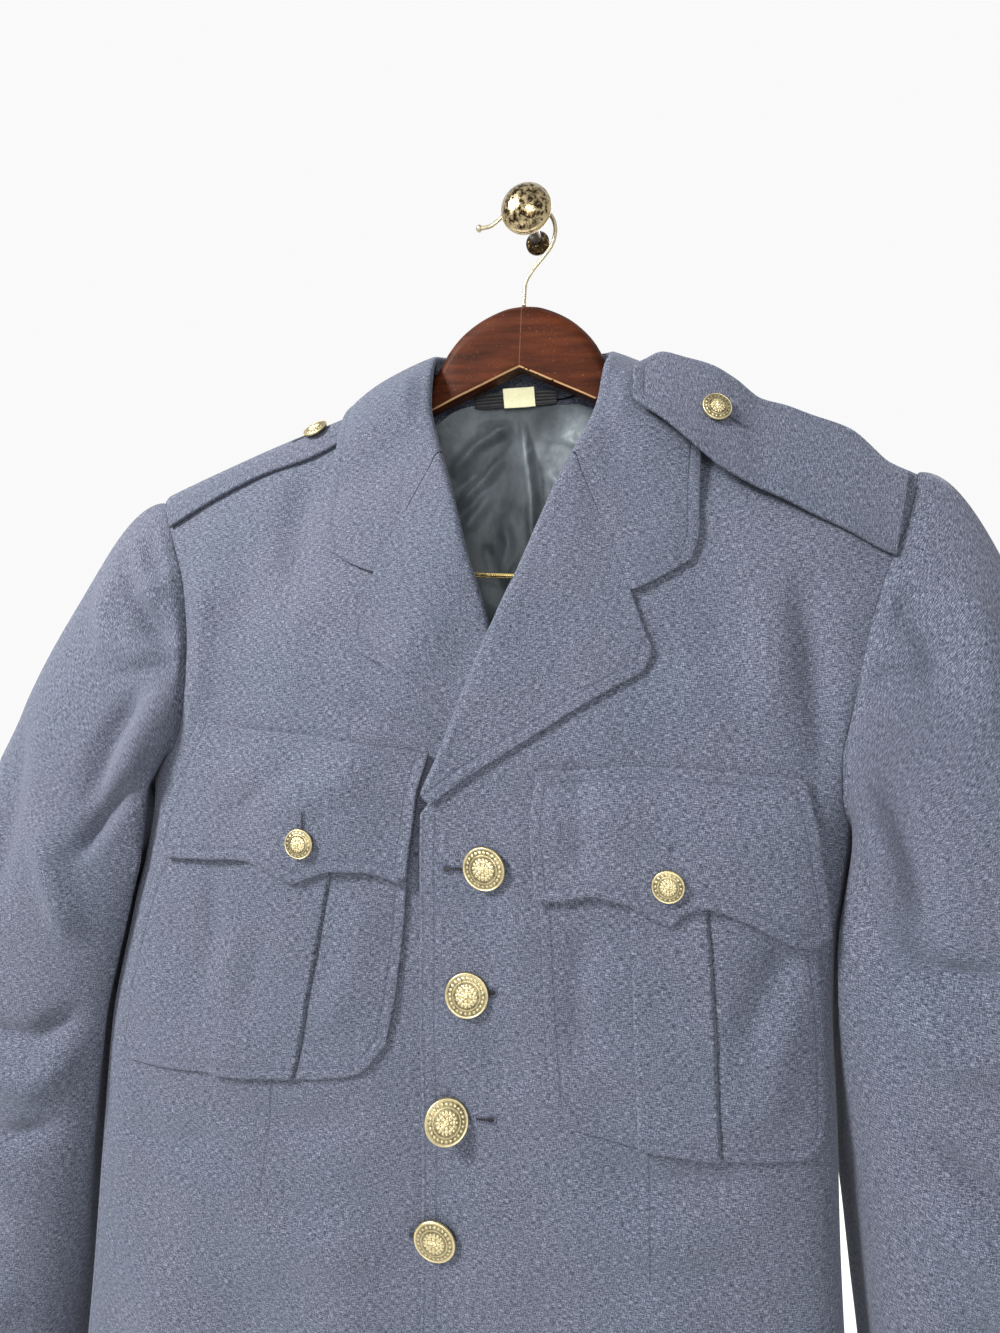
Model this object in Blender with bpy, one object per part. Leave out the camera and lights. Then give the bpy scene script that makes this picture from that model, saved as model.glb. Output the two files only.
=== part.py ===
"""Air force service dress jacket on a wooden hanger that hangs from a brass wall knob.

The tables are in millimetres in the garment's own frame: X to the viewer's right, Y away from the viewer with 0 at the
hanger's plane, Z up with 0 at the level the jacket was seen from. place() moves them into the shared frame, whose
origin is the flat back of the wall knob. Side -1 is the viewer's left and side +1 the viewer's right.
"""
import math

import bpy
import numpy as np

# Where the garment's frame sits behind and below the knob's back face
HANGER_Y = -36.0
LEVEL_Z = -242.0

# Cloth thicknesses and the air between pieces
CLOTH = 1.8
FLAP = 2.2
STRAP = 2.4
LINING = 1.0
SEAM = 0.3

# Button sizes
BIG_RADIUS = 11.45
SMALL_RADIUS = 7.95

# How blunt the trunk's outline and its shoulders are, and how far below the ridge its full depth comes
OUTLINE_POWER = 4.0
SHOULDER_POWER = 1.5
FRONT_REACH = 250.0
BACK_REACH = 90.0
SIDE_SEAM = 0.955
ARMPIT_Z = -93.0
HEM_Z = -620.0

# height, half width on the left, half width on the right, depth in front, depth behind
BODY = [
    (190, 240, 232, 57, 30),
    (60, 240, 228, 57, 30),
    (0, 232, 218, 57, 30),
    (-60, 218, 200, 58, 31),
    (-118, 212, 186, 58, 31),
    (-180, 222, 181, 57, 30),
    (-250, 234, 186, 56, 29),
    (-310, 237, 190, 55, 28),
    (-400, 240, 198, 55, 29),
    (-500, 245, 206, 56, 31),
    (-620, 250, 212, 58, 32),
]
# distance from the middle, height of the shoulder ridge on the left
RIDGE = [
    (0, 180), (25, 174), (45, 161), (57, 150), (70, 141), (85, 131.5), (100, 122.5),
    (119, 113.8), (139, 106.3), (171, 93.2), (204, 79.2), (232, 66.8), (260, 54.5),
]
RIGHT_LIFT = 15.0
# distance from the middle, height of the back neck seam
BACK_NECK = [(0, 137), (25, 138.6), (45, 144.5), (57, 150)]
# height, left front's fold and edge, right front's fold and edge
EDGE = [
    (93, -36.5, 36.5), (69, -27, 27), (32, -14.4, 14.2), (-7, -1, -1), (-40, 8, -12), (-70, 15.5, -22.6),
    (-94, 21, -31), (-103, 21.5, -31.6), (-144, 20, -29.7), (-196, 17, -27.9), (-248, 13, -24.8),
    (-310, 10, -22), (-400, 8, -19), (-500, 6, -16), (-620, 4, -11),
]
# height, cloth edge of the left front's panel, cloth edge of the right front's panel
INNER = [
    (150, -57, 57), (142, -56, 56), (123, -54.5, 54.5), (105, -48.5, 48.5), (93, -43, 43), (69, -33.5, 33.5),
    (32, -20.9, 20.7), (-7, -7.5, 5.5), (-50, 4.6, -8.9), (-80, 12, -20.2), (-92.5, 16.4, -26.4),
    (-99, 21.3, -31.3), (-144, 20, -29.7), (-196, 17, -27.9), (-248, 13, -24.8), (-310, 10, -22),
    (-400, 8, -19), (-500, 6, -16), (-620, 4, -11),
]
# armholes from the shoulder's tip down to the armpit: x, z
ARMHOLE = {
    -1: [(230, 67.8), (221, 54), (212, 39), (204, 25), (197, 10), (190, -14), (185.5, -39), (184, -60), (188, -77)],
    1: [(216, 88.8), (210, 67.5), (203, 48), (196, 30), (190.5, 11), (185, -17), (180, -39), (176.5, -60), (177, -76)],
}

# lapels: the end at the gorge from the fold to the point, then the free edge from the point to the last button
LAPEL_END = {
    -1: [(-36.5, 93), (-47, 71), (-57.5, 48.5), (-68, 26), (-75, 9), (-79.5, -3)],
    1: [(36.5, 93), (48, 68.5), (59, 44.5), (70.5, 20.5), (78, 2), (82.3, -8)],
}
LAPEL_EDGE = {
    -1: [(-79.5, -3), (-80.5, -9), (-77.5, -14.5), (-54.3, -26.4), (-37.6, -39.2), (-20, -55.8), (-2, -73),
         (9, -85), (15, -94)],
    1: [(82.3, -8), (82.9, -13.5), (80, -19), (65.1, -28.8), (51.3, -37.9), (31, -52), (9.9, -66.5),
        (-9, -80), (-25.5, -94)],
}
# breast pocket flaps: top, outer edge, lower edge from outside to inside, inner edge
FLAPS = {
    -1: dict(
        top=[(-168.8, -62.7), (-130, -63.5), (-93.2, -64.6), (-60, -66.5), (-30, -68.8)],
        low=[(-187.2, -134.5), (-179.3, -139), (-150.1, -135.6), (-125.9, -133.7), (-112.5, -137.2),
             (-99.6, -141.4), (-88.5, -136.8), (-76, -132.6), (-58, -131.8), (-41, -135.4), (-35.8, -131)],
        outer=[(-168.8, -62.7), (-178.1, -97.1), (-187.2, -134.5)],
        inner=[(-30, -68.8), (-34.4, -96), (-35.8, -131)],
    ),
    1: dict(
        top=[(158, -67.8), (125, -66.6), (92, -66.2), (60, -68.6), (28.5, -72.3)],
        low=[(169.7, -142), (162.5, -145.6), (130.6, -135.2), (115, -130.5), (105, -133.6), (96.6, -141),
             (86, -137.2), (74, -131.8), (61, -130.4), (44, -135), (31, -136)],
        outer=[(158, -67.8), (164, -103), (169.7, -142)],
        inner=[(28.5, -72.3), (27.4, -97.4), (31, -136)],
    ),
}
# breast pockets, and the outer then the inner fold of each box pleat from top to bottom
POCKETS = {
    -1: dict(
        top=[(-175, -97), (-37, -98)],
        low=[(-212.6, -252), (-206, -260), (-146.9, -254.6), (-95.1, -248.5), (-60, -240), (-45.4, -223)],
        outer=[(-175, -97), (-188.8, -145), (-203.7, -196), (-212.6, -252)],
        inner=[(-37, -98), (-37.6, -137.6), (-40.7, -190), (-45.4, -223)],
        pleats=(((-122.5, -97), (-145.7, -254)), ((-75.5, -98), (-96.7, -248.5))),
    ),
    1: dict(
        top=[(157, -98), (30, -100)],
        low=[(175.2, -243), (167, -252), (125, -253), (95, -252), (58, -249), (43.5, -234)],
        outer=[(157, -98), (167, -150), (171.5, -190), (175.2, -243)],
        inner=[(30, -100), (33.7, -140), (38.5, -195), (43.5, -234)],
        pleats=(((109.5, -99), (125, -253)), ((75, -99), (88, -252))),
    ),
}
# right shoulder strap, rolled forward over the collar: front edge, then back edge, from the neck to the sleeve
STRAP_RIGHT = [
    ((67.3, -34, 122), (66.3, -22, 144.0)),
    ((76, -35, 116.5), (72.9, -16, 149.0)),
    ((85, -36, 110.3), (81, -14, 153.0)),
    ((97.8, -36, 99.7), (93.3, -14, 149.8)),
    ((112.4, -34, 87.7), (106.7, -14, 145.6)),
    ((122, -32.5, 82), (119.6, -12, 138.4)),
    ((133, -30.5, 76.5), (133.8, -8, 128.5)),
    ((146, -29.7, 71), (147, -6, 125.2)),
    ((160, -28.3, 64), (161, -5, 120)),
    ((178, -26.5, 55.6), (180, -4, 113)),
]
# left shoulder strap: distance out of its front edge, its middle and its back edge, drop of the front edge and the
# back edge below the ridge
STRAP_LEFT = [
    (98, 98, 98, 15, 14), (106, 106, 106, 16, 15), (123, 123, 123, 17.5, 17), (154, 154, 154, 15.5, 17.5),
    (187, 187, 187, 17.5, 17.5), (207, 208, 207, 20.5, 17), (216.5, 226, 217, 22, 15),
]

# sleeve rings: height, middle on the left, middle on the right, half width, half depth, y of the middle
SLEEVE = [
    (-150, -265, 241, 71.5, 46, -13), (-205, -281, 252, 70.5, 45.5, -13.5), (-265, -293, 263, 69.5, 44.5, -14.5),
    (-330, -302, 272, 68, 43, -16), (-400, -309, 279, 65.5, 41, -19), (-470, -313.5, 283, 63, 38.5, -24),
    (-545, -316, 286, 61, 36, -30),
]
CAP_STEPS = (0.0, 0.13, 0.27, 0.42, 0.57, 0.72, 0.86)

# front buttons on the right front: x, z, turn about the upright axis and about the level one in degrees
FRONT_BUTTONS = [(4.6, -123.5, 4, -3), (-2.4, -189.8, -2, 4), (-9.6, -254.5, -24, 14), (-14, -319.5, 3, -2)]
FLAP_BUTTONS = {-1: (-94.6, -119.4), 1: (95.3, -120.6)}

# hanger's upper and lower outlines: distance out, upper z, lower z, half thickness
WOOD = [
    (0, 187.2, 150.0, 7), (8, 186.4, 146.6, 7), (15, 184.3, 143.4, 7), (26, 179, 138.4, 7), (36.5, 170.8, 133.7, 7),
    (44, 162, 130.3, 6.4), (50, 151.4, 127.6, 5.8), (57, 143.2, 124.2, 6.2), (70, 135.2, 117.5, 6.6),
    (85, 126.2, 109.5, 7), (100, 118, 101.5, 7), (119, 109.6, 92.5, 7), (139, 101.6, 84, 7), (171, 88.4, 72, 6.6), (200, 75.6, 61.5, 6),
    (208, 69.5, 61.5, 5),
]
WOOD_TILT = 0.02
HOOK_RADIUS = 1.2
HOOK = [
    (0, 187.6), (0.1, 200), (4.4, 208.8), (11.2, 217.2), (15.6, 223.9), (16.9, 231.4), (15.0, 238.2), (10.4, 243.6),
    (4.5, 246.5), (-1, 247.2), (-7, 246.2), (-12.8, 243.4), (-17.3, 239.6), (-20.4, 236.9), (-23.4, 235.5),
    (-27, 235.3),
]
BAR_Z = 30.0
BAR_HALF = 150.0
BAR_RADIUS = 1.6
# wall knob's outline: radius, y
KNOB = [
    (7.5, 36), (7.5, 34.8), (5, 33.6), (3.4, 32), (3.2, 0), (5, -2.2), (12, -2.9), (14.5, -4), (14.9, -5.6),
    (14.5, -7.3), (13.9, -7.8), (13.5, -8.4), (11.6, -11), (8, -13.1), (3.8, -14.3),
]

COLOURS = {
    "wool_cloth": ((0.115, 0.137, 0.214, 1), 0.9, 0.0),
    "lining_satin": ((0.035, 0.05, 0.055, 1), 0.4, 0.0),
    "loop_tape": ((0.01, 0.01, 0.012, 1), 0.7, 0.0),
    "label_cloth": ((0.66, 0.62, 0.42, 1), 0.8, 0.0),
    "button_brass": ((0.33, 0.27, 0.14, 1), 0.35, 1.0),
    "hanger_wood": ((0.065, 0.018, 0.01, 1), 0.25, 0.0),
    "hook_steel": ((0.5, 0.46, 0.36, 1), 0.25, 1.0),
    "bar_brass": ((0.6, 0.42, 0.14, 1), 0.25, 1.0),
    "knob_brass": ((0.42, 0.31, 0.14, 1), 0.3, 1.0),
}


def ease(value, low, high):
    """0 below low, 1 above high and smooth between."""
    t = np.clip((np.asarray(value, float) - low) / (high - low), 0.0, 1.0)
    return t * t * (3.0 - 2.0 * t)


def look_up(rows, at, column=1):
    """One column of a table at a place, through every row and without overshoot."""
    rows = sorted(rows)
    xs = np.array([row[0] for row in rows], float)
    ys = np.array([row[column] for row in rows], float)
    step = np.diff(xs)
    slope = np.diff(ys) / step
    lean = np.zeros(len(xs))
    lean[0], lean[-1] = slope[0], slope[-1]
    same = slope[:-1] * slope[1:] > 0
    both = np.where(same, slope[:-1] + slope[1:], 1.0)
    lean[1:-1] = np.where(same, 2.0 * slope[:-1] * slope[1:] / both, 0.0)
    at = np.asarray(at, float)
    k = np.clip(np.searchsorted(xs, at) - 1, 0, len(xs) - 2)
    h = step[k]
    t = np.clip((at - xs[k]) / h, 0.0, 1.0)
    return (
        (1 + 2 * t) * (1 - t) ** 2 * ys[k] + t * (1 - t) ** 2 * h * lean[k]
        + t * t * (3 - 2 * t) * ys[k + 1] + t * t * (t - 1) * h * lean[k + 1]
    )


def along(points, at):
    """Points at shares of a smooth line's length."""
    points = np.array(points, float)
    run = np.concatenate([[0.0], np.cumsum(np.linalg.norm(np.diff(points, axis=0), axis=1))])
    run /= run[-1]
    return np.stack([look_up(list(zip(run, points[:, i])), at) for i in range(points.shape[1])], axis=-1)


def ridge(x, side):
    """Height of the shoulder ridge over a place."""
    x = np.abs(x)
    return look_up(RIDGE, x) + (RIGHT_LIFT * ease(x, 80, 160) if side > 0 else 0.0)


def tuck(x, z):
    """How far the left front goes in under the right one."""
    deep = 3.4 + 4.3 * ease(z, -128, -96)
    line = look_up(EDGE, z, 2) - 4.0
    return deep * ease(x - line, -42, 0) * (1.0 - ease(z, 10, 60))


def trunk_y(x, z, side, face):
    """Depth of the trunk's cloth, in front for face -1 and behind for face +1."""
    half = look_up(BODY, z, 1 if side < 0 else 2)
    deep = look_up(BODY, z, 3 if face < 0 else 4)
    out = np.clip(np.abs(x) / half, 0.0, 0.9995)
    across = (1.0 - out**OUTLINE_POWER) ** (1.0 / OUTLINE_POWER)
    reach = FRONT_REACH if face < 0 else BACK_REACH
    share = np.clip((ridge(x, side) - z) / reach, 0.0, 1.0)
    down = (1.0 - (1.0 - share) ** SHOULDER_POWER) ** (1.0 / SHOULDER_POWER)
    y = face * deep * across * down
    if face < 0 and side < 0:
        y = y + tuck(x, z)
    return y


def on_trunk(x, z, side, face=-1, lift=0.0):
    """Points of the trunk's cloth moved out along its normal."""
    x, z = np.broadcast_arrays(np.asarray(x, float), np.asarray(z, float))
    y = trunk_y(x, z, side, face)
    step = 0.5
    dx = (trunk_y(x + step, z, side, face) - trunk_y(x - step, z, side, face)) / (2 * step)
    dz = (trunk_y(x, z + step, side, face) - trunk_y(x, z - step, side, face)) / (2 * step)
    normal = np.stack([dx, -np.ones_like(dx), dz], axis=-1) * (1.0 if face < 0 else -1.0)
    normal /= np.linalg.norm(normal, axis=-1, keepdims=True)
    return np.stack([x, y, z], axis=-1) + normal * np.asarray(lift, float)[..., None]


def shoulder_z(x, y, side, lift=0.0):
    """Height of the cloth over a place near the ridge, found from its depth."""
    half = look_up(BODY, 60, 1 if side < 0 else 2)
    across = (1.0 - np.clip(np.abs(x) / half, 0, 0.99) ** OUTLINE_POWER) ** (1.0 / OUTLINE_POWER)
    front = np.asarray(y) < 0
    deep = np.where(front, 57.0, 30.0) * across
    reach = np.where(front, FRONT_REACH, BACK_REACH)
    share = np.clip(np.abs(y) / deep, 0, 1) ** SHOULDER_POWER
    drop = reach * (1.0 - (1.0 - share) ** (1.0 / SHOULDER_POWER))
    return ridge(x, side) - drop + lift


def place(points):
    """Garment millimetres to metres in the shared frame."""
    return (np.asarray(points, float) + np.array([0.0, HANGER_Y, LEVEL_Z])) / 1000.0


def finish(name, verts, faces, material):
    """Make a closed solid that faces out, in the jacket's collection."""
    verts = np.asarray(verts, float)
    volume = 0.0
    for face in faces:
        for i in range(1, len(face) - 1):
            a, b, c = verts[face[0]], verts[face[i]], verts[face[i + 1]]
            volume += float(np.dot(a, np.cross(b, c)))
    if volume < 0:
        faces = [tuple(reversed(face)) for face in faces]
    mesh = bpy.data.meshes.new(name)
    mesh.from_pydata([tuple(v) for v in place(verts)], [], faces)
    mesh.validate()
    mesh.update()
    thing = bpy.data.objects.new(name, mesh)
    mesh.materials.append(MATERIALS[material])
    PARTS.objects.link(thing)
    return thing


def cloth(name, grid, thick, material="wool_cloth", keep=None, across=None):
    """A sheet of cloth from a grid of points through its middle."""
    grid = np.asarray(grid, float)
    if across is None:
        across = np.gradient(grid, axis=1)
    normal = np.cross(np.gradient(grid, axis=0), across)
    normal /= np.maximum(np.linalg.norm(normal, axis=-1, keepdims=True), 1e-9)
    upper, lower = grid + normal * thick / 2, grid - normal * thick / 2
    if keep is not None:
        upper, lower = keep(upper), keep(lower)
    rows, cols = grid.shape[:2]
    size = rows * cols
    verts = np.concatenate([upper.reshape(-1, 3), lower.reshape(-1, 3)])
    faces = []
    for i in range(rows - 1):
        for j in range(cols - 1):
            a, b = i * cols + j, (i + 1) * cols + j
            faces.append((a, b, b + 1, a + 1))
            faces.append((size + a, size + a + 1, size + b + 1, size + b))
    rim = [i * cols for i in range(rows)] + [(rows - 1) * cols + j for j in range(1, cols)]
    rim += [i * cols + cols - 1 for i in range(rows - 2, -1, -1)] + list(range(cols - 2, 0, -1))
    for a, b in zip(rim, rim[1:] + rim[:1]):
        faces.append((b, a, size + a, size + b))
    return finish(name, verts, faces, material)


def lathe(name, outline, segments, material, centre, axes):
    """A turned solid, its outline as radius and height along the last axis, closed at both ends by a point."""
    centre, (u, v, w) = np.array(centre, float), [np.array(a, float) for a in axes]
    verts = [centre + w * outline[0][1]]
    for radius, height in outline:
        for k in range(segments):
            angle = 2 * math.pi * k / segments
            verts.append(centre + w * height + (u * math.cos(angle) + v * math.sin(angle)) * radius)
    verts.append(centre + w * outline[-1][1])
    faces = []
    last = len(verts) - 1
    for k in range(segments):
        n = (k + 1) % segments
        faces.append((0, 1 + n, 1 + k))
        for i in range(len(outline) - 1):
            a, b = 1 + i * segments, 1 + (i + 1) * segments
            faces.append((a + k, a + n, b + n, b + k))
        top = 1 + (len(outline) - 1) * segments
        faces.append((last, top + k, top + n))
    return finish(name, verts, faces, material)


def tube(name, path, radii, segments, material):
    """A round rod along a path, with its own radius at each point."""
    path = np.array(path, float)
    heading = np.gradient(path, axis=0)
    heading /= np.linalg.norm(heading, axis=1, keepdims=True)
    verts, faces = [path[0]], []
    for point, ahead, radius in zip(path, heading, radii):
        level = np.array([0.0, 1.0, 0.0])
        over = np.cross(ahead, level)
        over /= np.linalg.norm(over)
        for k in range(segments):
            angle = 2 * math.pi * k / segments
            verts.append(point + (level * math.cos(angle) + over * math.sin(angle)) * radius)
    verts.append(path[-1])
    for k in range(segments):
        n = (k + 1) % segments
        faces.append((0, 1 + n, 1 + k))
        for i in range(len(path) - 1):
            a, b = 1 + i * segments, 1 + (i + 1) * segments
            faces.append((a + k, a + n, b + n, b + k))
        top = 1 + (len(path) - 1) * segments
        faces.append((len(verts) - 1, top + k, top + n))
    return finish(name, verts, faces, material)


def trunk_panel(side, face):
    """A front or a back half: rows from the hem to the shoulder, columns from the middle to the side."""
    hole = [(side * x, z) for x, z in ARMHOLE[side]]
    half_low = float(look_up(BODY, ARMPIT_Z, 1 if side < 0 else 2))
    hole.append((side * half_low * SIDE_SEAM, ARMPIT_Z))
    hole = hole[::-1]
    tip = hole[-1]
    neck_z = 150.0 if face < 0 else 137.0
    cols = np.array([0, 0.14, 0.27, 0.41, 0.55, 0.68, 0.8, 0.9, 1.0])
    if face > 0:
        cols = np.array([0, 0.125, 0.25, 0.39, 0.54, 0.69, 0.82, 0.92, 1.0])
    rows = []
    for z in (HEM_Z, -540, -460, -385, -315, -250, -190, -138, -99.5):
        inner = look_up(INNER, z, 1 if side < 0 else 2) if face < 0 else side * SEAM / 2
        outer = side * SIDE_SEAM * look_up(BODY, z, 1 if side < 0 else 2)
        x = inner + (outer - side * SEAM - inner) * cols
        rows.append((x, np.full(len(cols), float(z))))
    for q in (0, 0.11, 0.22, 0.33, 0.44, 0.55, 0.66, 0.77, 0.87, 0.95, 1.0):
        z_in = ARMPIT_Z + (neck_z - ARMPIT_Z) * q
        x_out, z_out = along(hole, q)
        x_out -= side * SEAM
        inner = look_up(INNER, z_in, 1 if side < 0 else 2) if face < 0 else side * SEAM / 2
        x = inner + (x_out - inner) * cols
        z = z_in + (z_out - z_in) * cols
        start = side * 57.0 if face < 0 else 0.0
        share = (x - start) / (tip[0] - start)
        straight = neck_z + (tip[1] - neck_z) * share
        top = ridge(x, side)
        if face > 0:
            top = np.where(np.abs(x) < 57, look_up(BACK_NECK, np.abs(x)), top)
        else:
            top = np.where(np.abs(x) < 57, straight, top)
        rows.append((x, z + q**2 * (top - straight)))
    grid = np.stack([on_trunk(x, z, side, face) for x, z in rows])
    grid[..., 1] = np.minimum(grid[..., 1], -0.3) if face < 0 else np.maximum(grid[..., 1], 0.3)
    return grid


def off_ridge(side, face):
    """Keeps a panel's cloth on its own side of the shoulder seam."""

    def keep(points):
        points = points.copy()
        points[..., 1] = np.minimum(points[..., 1], -0.3) if face < 0 else np.maximum(points[..., 1], 0.3)
        if face > 0:
            points[..., 0] = side * np.maximum(side * points[..., 0], SEAM / 2)
        return points

    return keep


def side_panel(side):
    """The narrow panel under the arm, from the front panel's side seam round to the back panel's."""
    seam_sin = math.sqrt(1.0 - SIDE_SEAM**4)
    cols = np.array([-1, -0.62, -0.2, 0.2, 0.62, 1.0])
    rows = []
    for level in (HEM_Z, -540, -460, -385, -315, -250, -190, -138, None):
        top = ARMPIT_Z - 25.0 * (1.0 - cols**2) if level is None else np.full(len(cols), float(level))
        half = look_up(BODY, top, 1 if side < 0 else 2)
        deep = np.where(cols < 0, look_up(BODY, top, 3), look_up(BODY, top, 4))
        share = (ridge(side * half * SIDE_SEAM, side) - top) / FRONT_REACH
        down = np.where(cols < 0, (1.0 - (1.0 - np.clip(share, 0, 1)) ** 1.5) ** (2 / 3), 1.0)
        sine = cols**2 * seam_sin
        x = half * (1.0 - sine**2) ** 0.25
        y = np.sign(cols) * deep * np.sqrt(sine) * down
        x = x + np.where(np.abs(cols) == 1, SEAM, 0.0) * 0.5
        rows.append(np.stack([side * x, y - np.where(np.abs(cols) == 1, SEAM * np.sign(cols), 0), top], axis=-1))
    return np.stack(rows)


def fold_row(fold, seam, fall, lifts, side):
    """One row of collar or lapel: from its seam round the fold and out over the front."""
    fold, seam = np.array(fold, float), np.array(seam, float)
    reach = seam - fold
    width = np.linalg.norm(reach)
    out = reach / width
    tall = lifts[0]
    steps = [(width, 0.0), (width * 0.42, 0.0), (0.25, 0.22 * tall), (-0.6, 0.5 * tall), (0.3, 0.8 * tall)]
    flat = [(fold + out * near, rise) for near, rise in steps]
    flat += [(np.array(p, float), lift) for p, lift in zip(fall, lifts[1:])]
    x = np.array([p[0] for p, _ in flat])
    z = np.array([p[1] for p, _ in flat])
    return on_trunk(x, z, side, -1, np.array([rise for _, rise in flat]))


def lapel(side):
    """Rows along the fold from the gorge to the last button, columns round the fold and out to the edge."""
    steps = (0, 0.1, 0.2, 0.3, 0.4, 0.5, 0.6, 0.7, 0.8, 0.9, 1.0)
    end = np.array(LAPEL_END[side], float)
    reach = np.array([0.12, 0.3, 0.52, 0.76, 1.0])
    rows = []
    for u in steps:
        z = 92.6 - 182.6 * u
        fold = np.array([float(look_up(EDGE, z, 1 if side < 0 else 2)), z])
        shrink = 1.0 - 0.4 * float(ease(u, 0.8, 1.0))
        low_z = z - 2.2 * shrink
        seam = np.array([float(look_up(INNER, low_z, 1 if side < 0 else 2)) - side * 1.3, low_z])
        edge = along(LAPEL_EDGE[side], u)
        if u == 0:
            fall = [end[0] + (end[3] - end[0]) * 0.13] + [end[1] * 0.8 + end[2] * 0.2] + [end[3], end[4], end[5]]
        else:
            fall = [fold + (edge - fold) * r for r in reach]
        tall = 4.9 * shrink
        low = 2.7
        mid = [tall + (low - tall) * r for r in (0.05, 0.3, 0.6, 0.85, 1.0)]
        if side < 0:
            press = float(ease(u, 0.45, 0.8))
            tall = tall * (1 - press) + 3.6 * press
            mid = [m * (1 - press) + 3.3 * press for m in mid]
        rows.append(fold_row(fold, seam, fall, [tall] + mid, side))
    return np.stack(rows)


def collar():
    """Rows round the neck from the left gorge to the right one, columns from the neck seam over to the free edge."""

    def half(side):
        rows = []
        back = [
            ((0, 24, 166), (0, 20.6, 138.0), (0, 31.2, 118)),
            ((20, 22.6, 165.5), (20, 19.6, 139), (30, 30.4, 117.5)),
            ((38, 17.2, 163.4), (38, 15.2, 143.2), (62, 24.4, 117.5)),
            ((48.5, 8.5, 161.2), (50, 8.4, 148.6), (90, 15.6, 119.5)),
            ((52, 0, 158.8), (56.2, 0, 151.2), (107, 1.5, 124)),
        ]
        for fold, seam, edge in back:
            fold, seam, edge = (np.array(p, float) for p in (fold, seam, edge))
            away = edge - seam
            away[2] = 0
            away /= np.linalg.norm(away)
            up = np.array([0, 0, 1.0])
            over = fold + away * 2.4
            row = [seam, seam * 0.45 + fold * 0.55 - away * 0.4, fold - up * 1.6, fold + away * 0.9, over - up * 0.5]
            for r, bulge in ((0.1, 1.0), (0.36, 3.4), (0.6, 3.2), (0.82, 1.6), (1.0, 0.0)):
                row.append(over * (1 - r) + edge * r + away * bulge * 0.6 + up * bulge * 0.9)
            rows.append(np.array(row) * [side, 1, 1])
        near = [
            ((50.8, -10.8, 147), (54.9, -9.9, 144.0),
             [(54.5, -14, 146.2), (64, -16.5, 141), (78, -18.5, 130.5), (92, -18, 119.5), (105, -15.5, 109)]),
            ((48.6, -19, 125.5), (53.0, -18.0, 124),
             [(51.8, -23.6, 124.6), (62, -27.5, 119), (77, -27.5, 110.5), (91, -26, 101.5), (103.6, -23.4, 91)]),
        ]
        for fold, seam, fall in near:
            fold, seam = np.array(fold, float), np.array(seam, float)
            inside = seam * 0.42 + fold * 0.58
            tip = fold + np.array([-0.5, -2.3, 0.2])
            row = [seam, inside, fold, tip, (tip + np.array(fall[0])) / 2 + np.array([0, -0.8, 0.3])]
            rows.append(np.array(row + [np.array(p) for p in fall]) * [side, 1, 1])
        for row in rows:
            out = np.abs(row[:, 0])
            row[:, 2] += 16.0 * ease(out, 80, 160) if side > 0 else 3.3 * ease(out, 75, 98)
        end = np.array(LAPEL_END[side], float)
        corner = {-1: [(-84, 30.8), (-99.5, 38.5)], 1: [(87, 28.8), (100.5, 38)]}[side]
        for fold, seam, fall, lifts in (
            ((42.3, 107), (47.3, 105.4), [(45, 106), (57, 99.5), (72, 90), (88, 79), (103.4, 67)],
             [4.9, 4.9, 5.6, 5.8, 5.0, 3.6]),
            ((39.2, 99.5), (44.1, 97.5), [(42, 96.5), (52, 83), (65, 68.5), (84, 58.5), (103.8, 52.5)],
             [4.9, 4.8, 4.9, 4.8, 4.2, 3.2]),
            ((36.9, 93.8), (41.6, 92.4), None, [4.9, 4.66, 4.2, 3.6, 3.0, 2.7]),
        ):
            if fall is None:
                gap = np.array([side * 0.35, 0.2])
                line = [end[0] + (end[3] - end[0]) * 0.13, end[1] * 0.8 + end[2] * 0.2, end[3]]
                fall = [p + gap for p in line] + [np.array(p) for p in corner]
            else:
                fall = [(side * x, z) for x, z in fall]
            fold, seam = (side * fold[0], fold[1]), (side * seam[0], seam[1])
            rows.append(fold_row(fold, seam, fall, lifts, side))
        return rows

    left, right = half(-1), half(1)
    stations = np.array(left[::-1] + right[1:])
    count = len(stations)
    at = [0, 0.5, 1, 1.6, 2.3, 3, 3.7, 4.4, 5, 5.6, 6.2, 7, 8, 9]
    at = at + [2 * 9 - a for a in at[::-1][1:]]
    index = np.arange(count)
    at = np.array(at) * (count - 1) / 18.0
    out = np.zeros((len(at), stations.shape[1], 3))
    for j in range(stations.shape[1]):
        for axis in range(3):
            out[:, j, axis] = look_up(list(zip(index, stations[:, j, axis])), at)
    return out


def patch(spec, side, shares, levels, lift):
    """A grid inside four outlines on the front, moved out from it."""
    top, low = along(spec["top"], shares), along(spec["low"], shares)
    outer, inner = along(spec["outer"], levels), along(spec["inner"], levels)
    u, v = np.array(shares)[:, None, None], np.array(levels)[None, :, None]
    flat = (1 - v) * top[:, None] + v * low[:, None] + (1 - u) * outer[None] + u * inner[None]
    flat -= (1 - u) * (1 - v) * top[0] + u * (1 - v) * top[-1] + (1 - u) * v * low[0] + u * v * low[-1]
    return on_trunk(flat[..., 0], flat[..., 1], side, -1, lift(u[..., 0], v[..., 0]))


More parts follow.
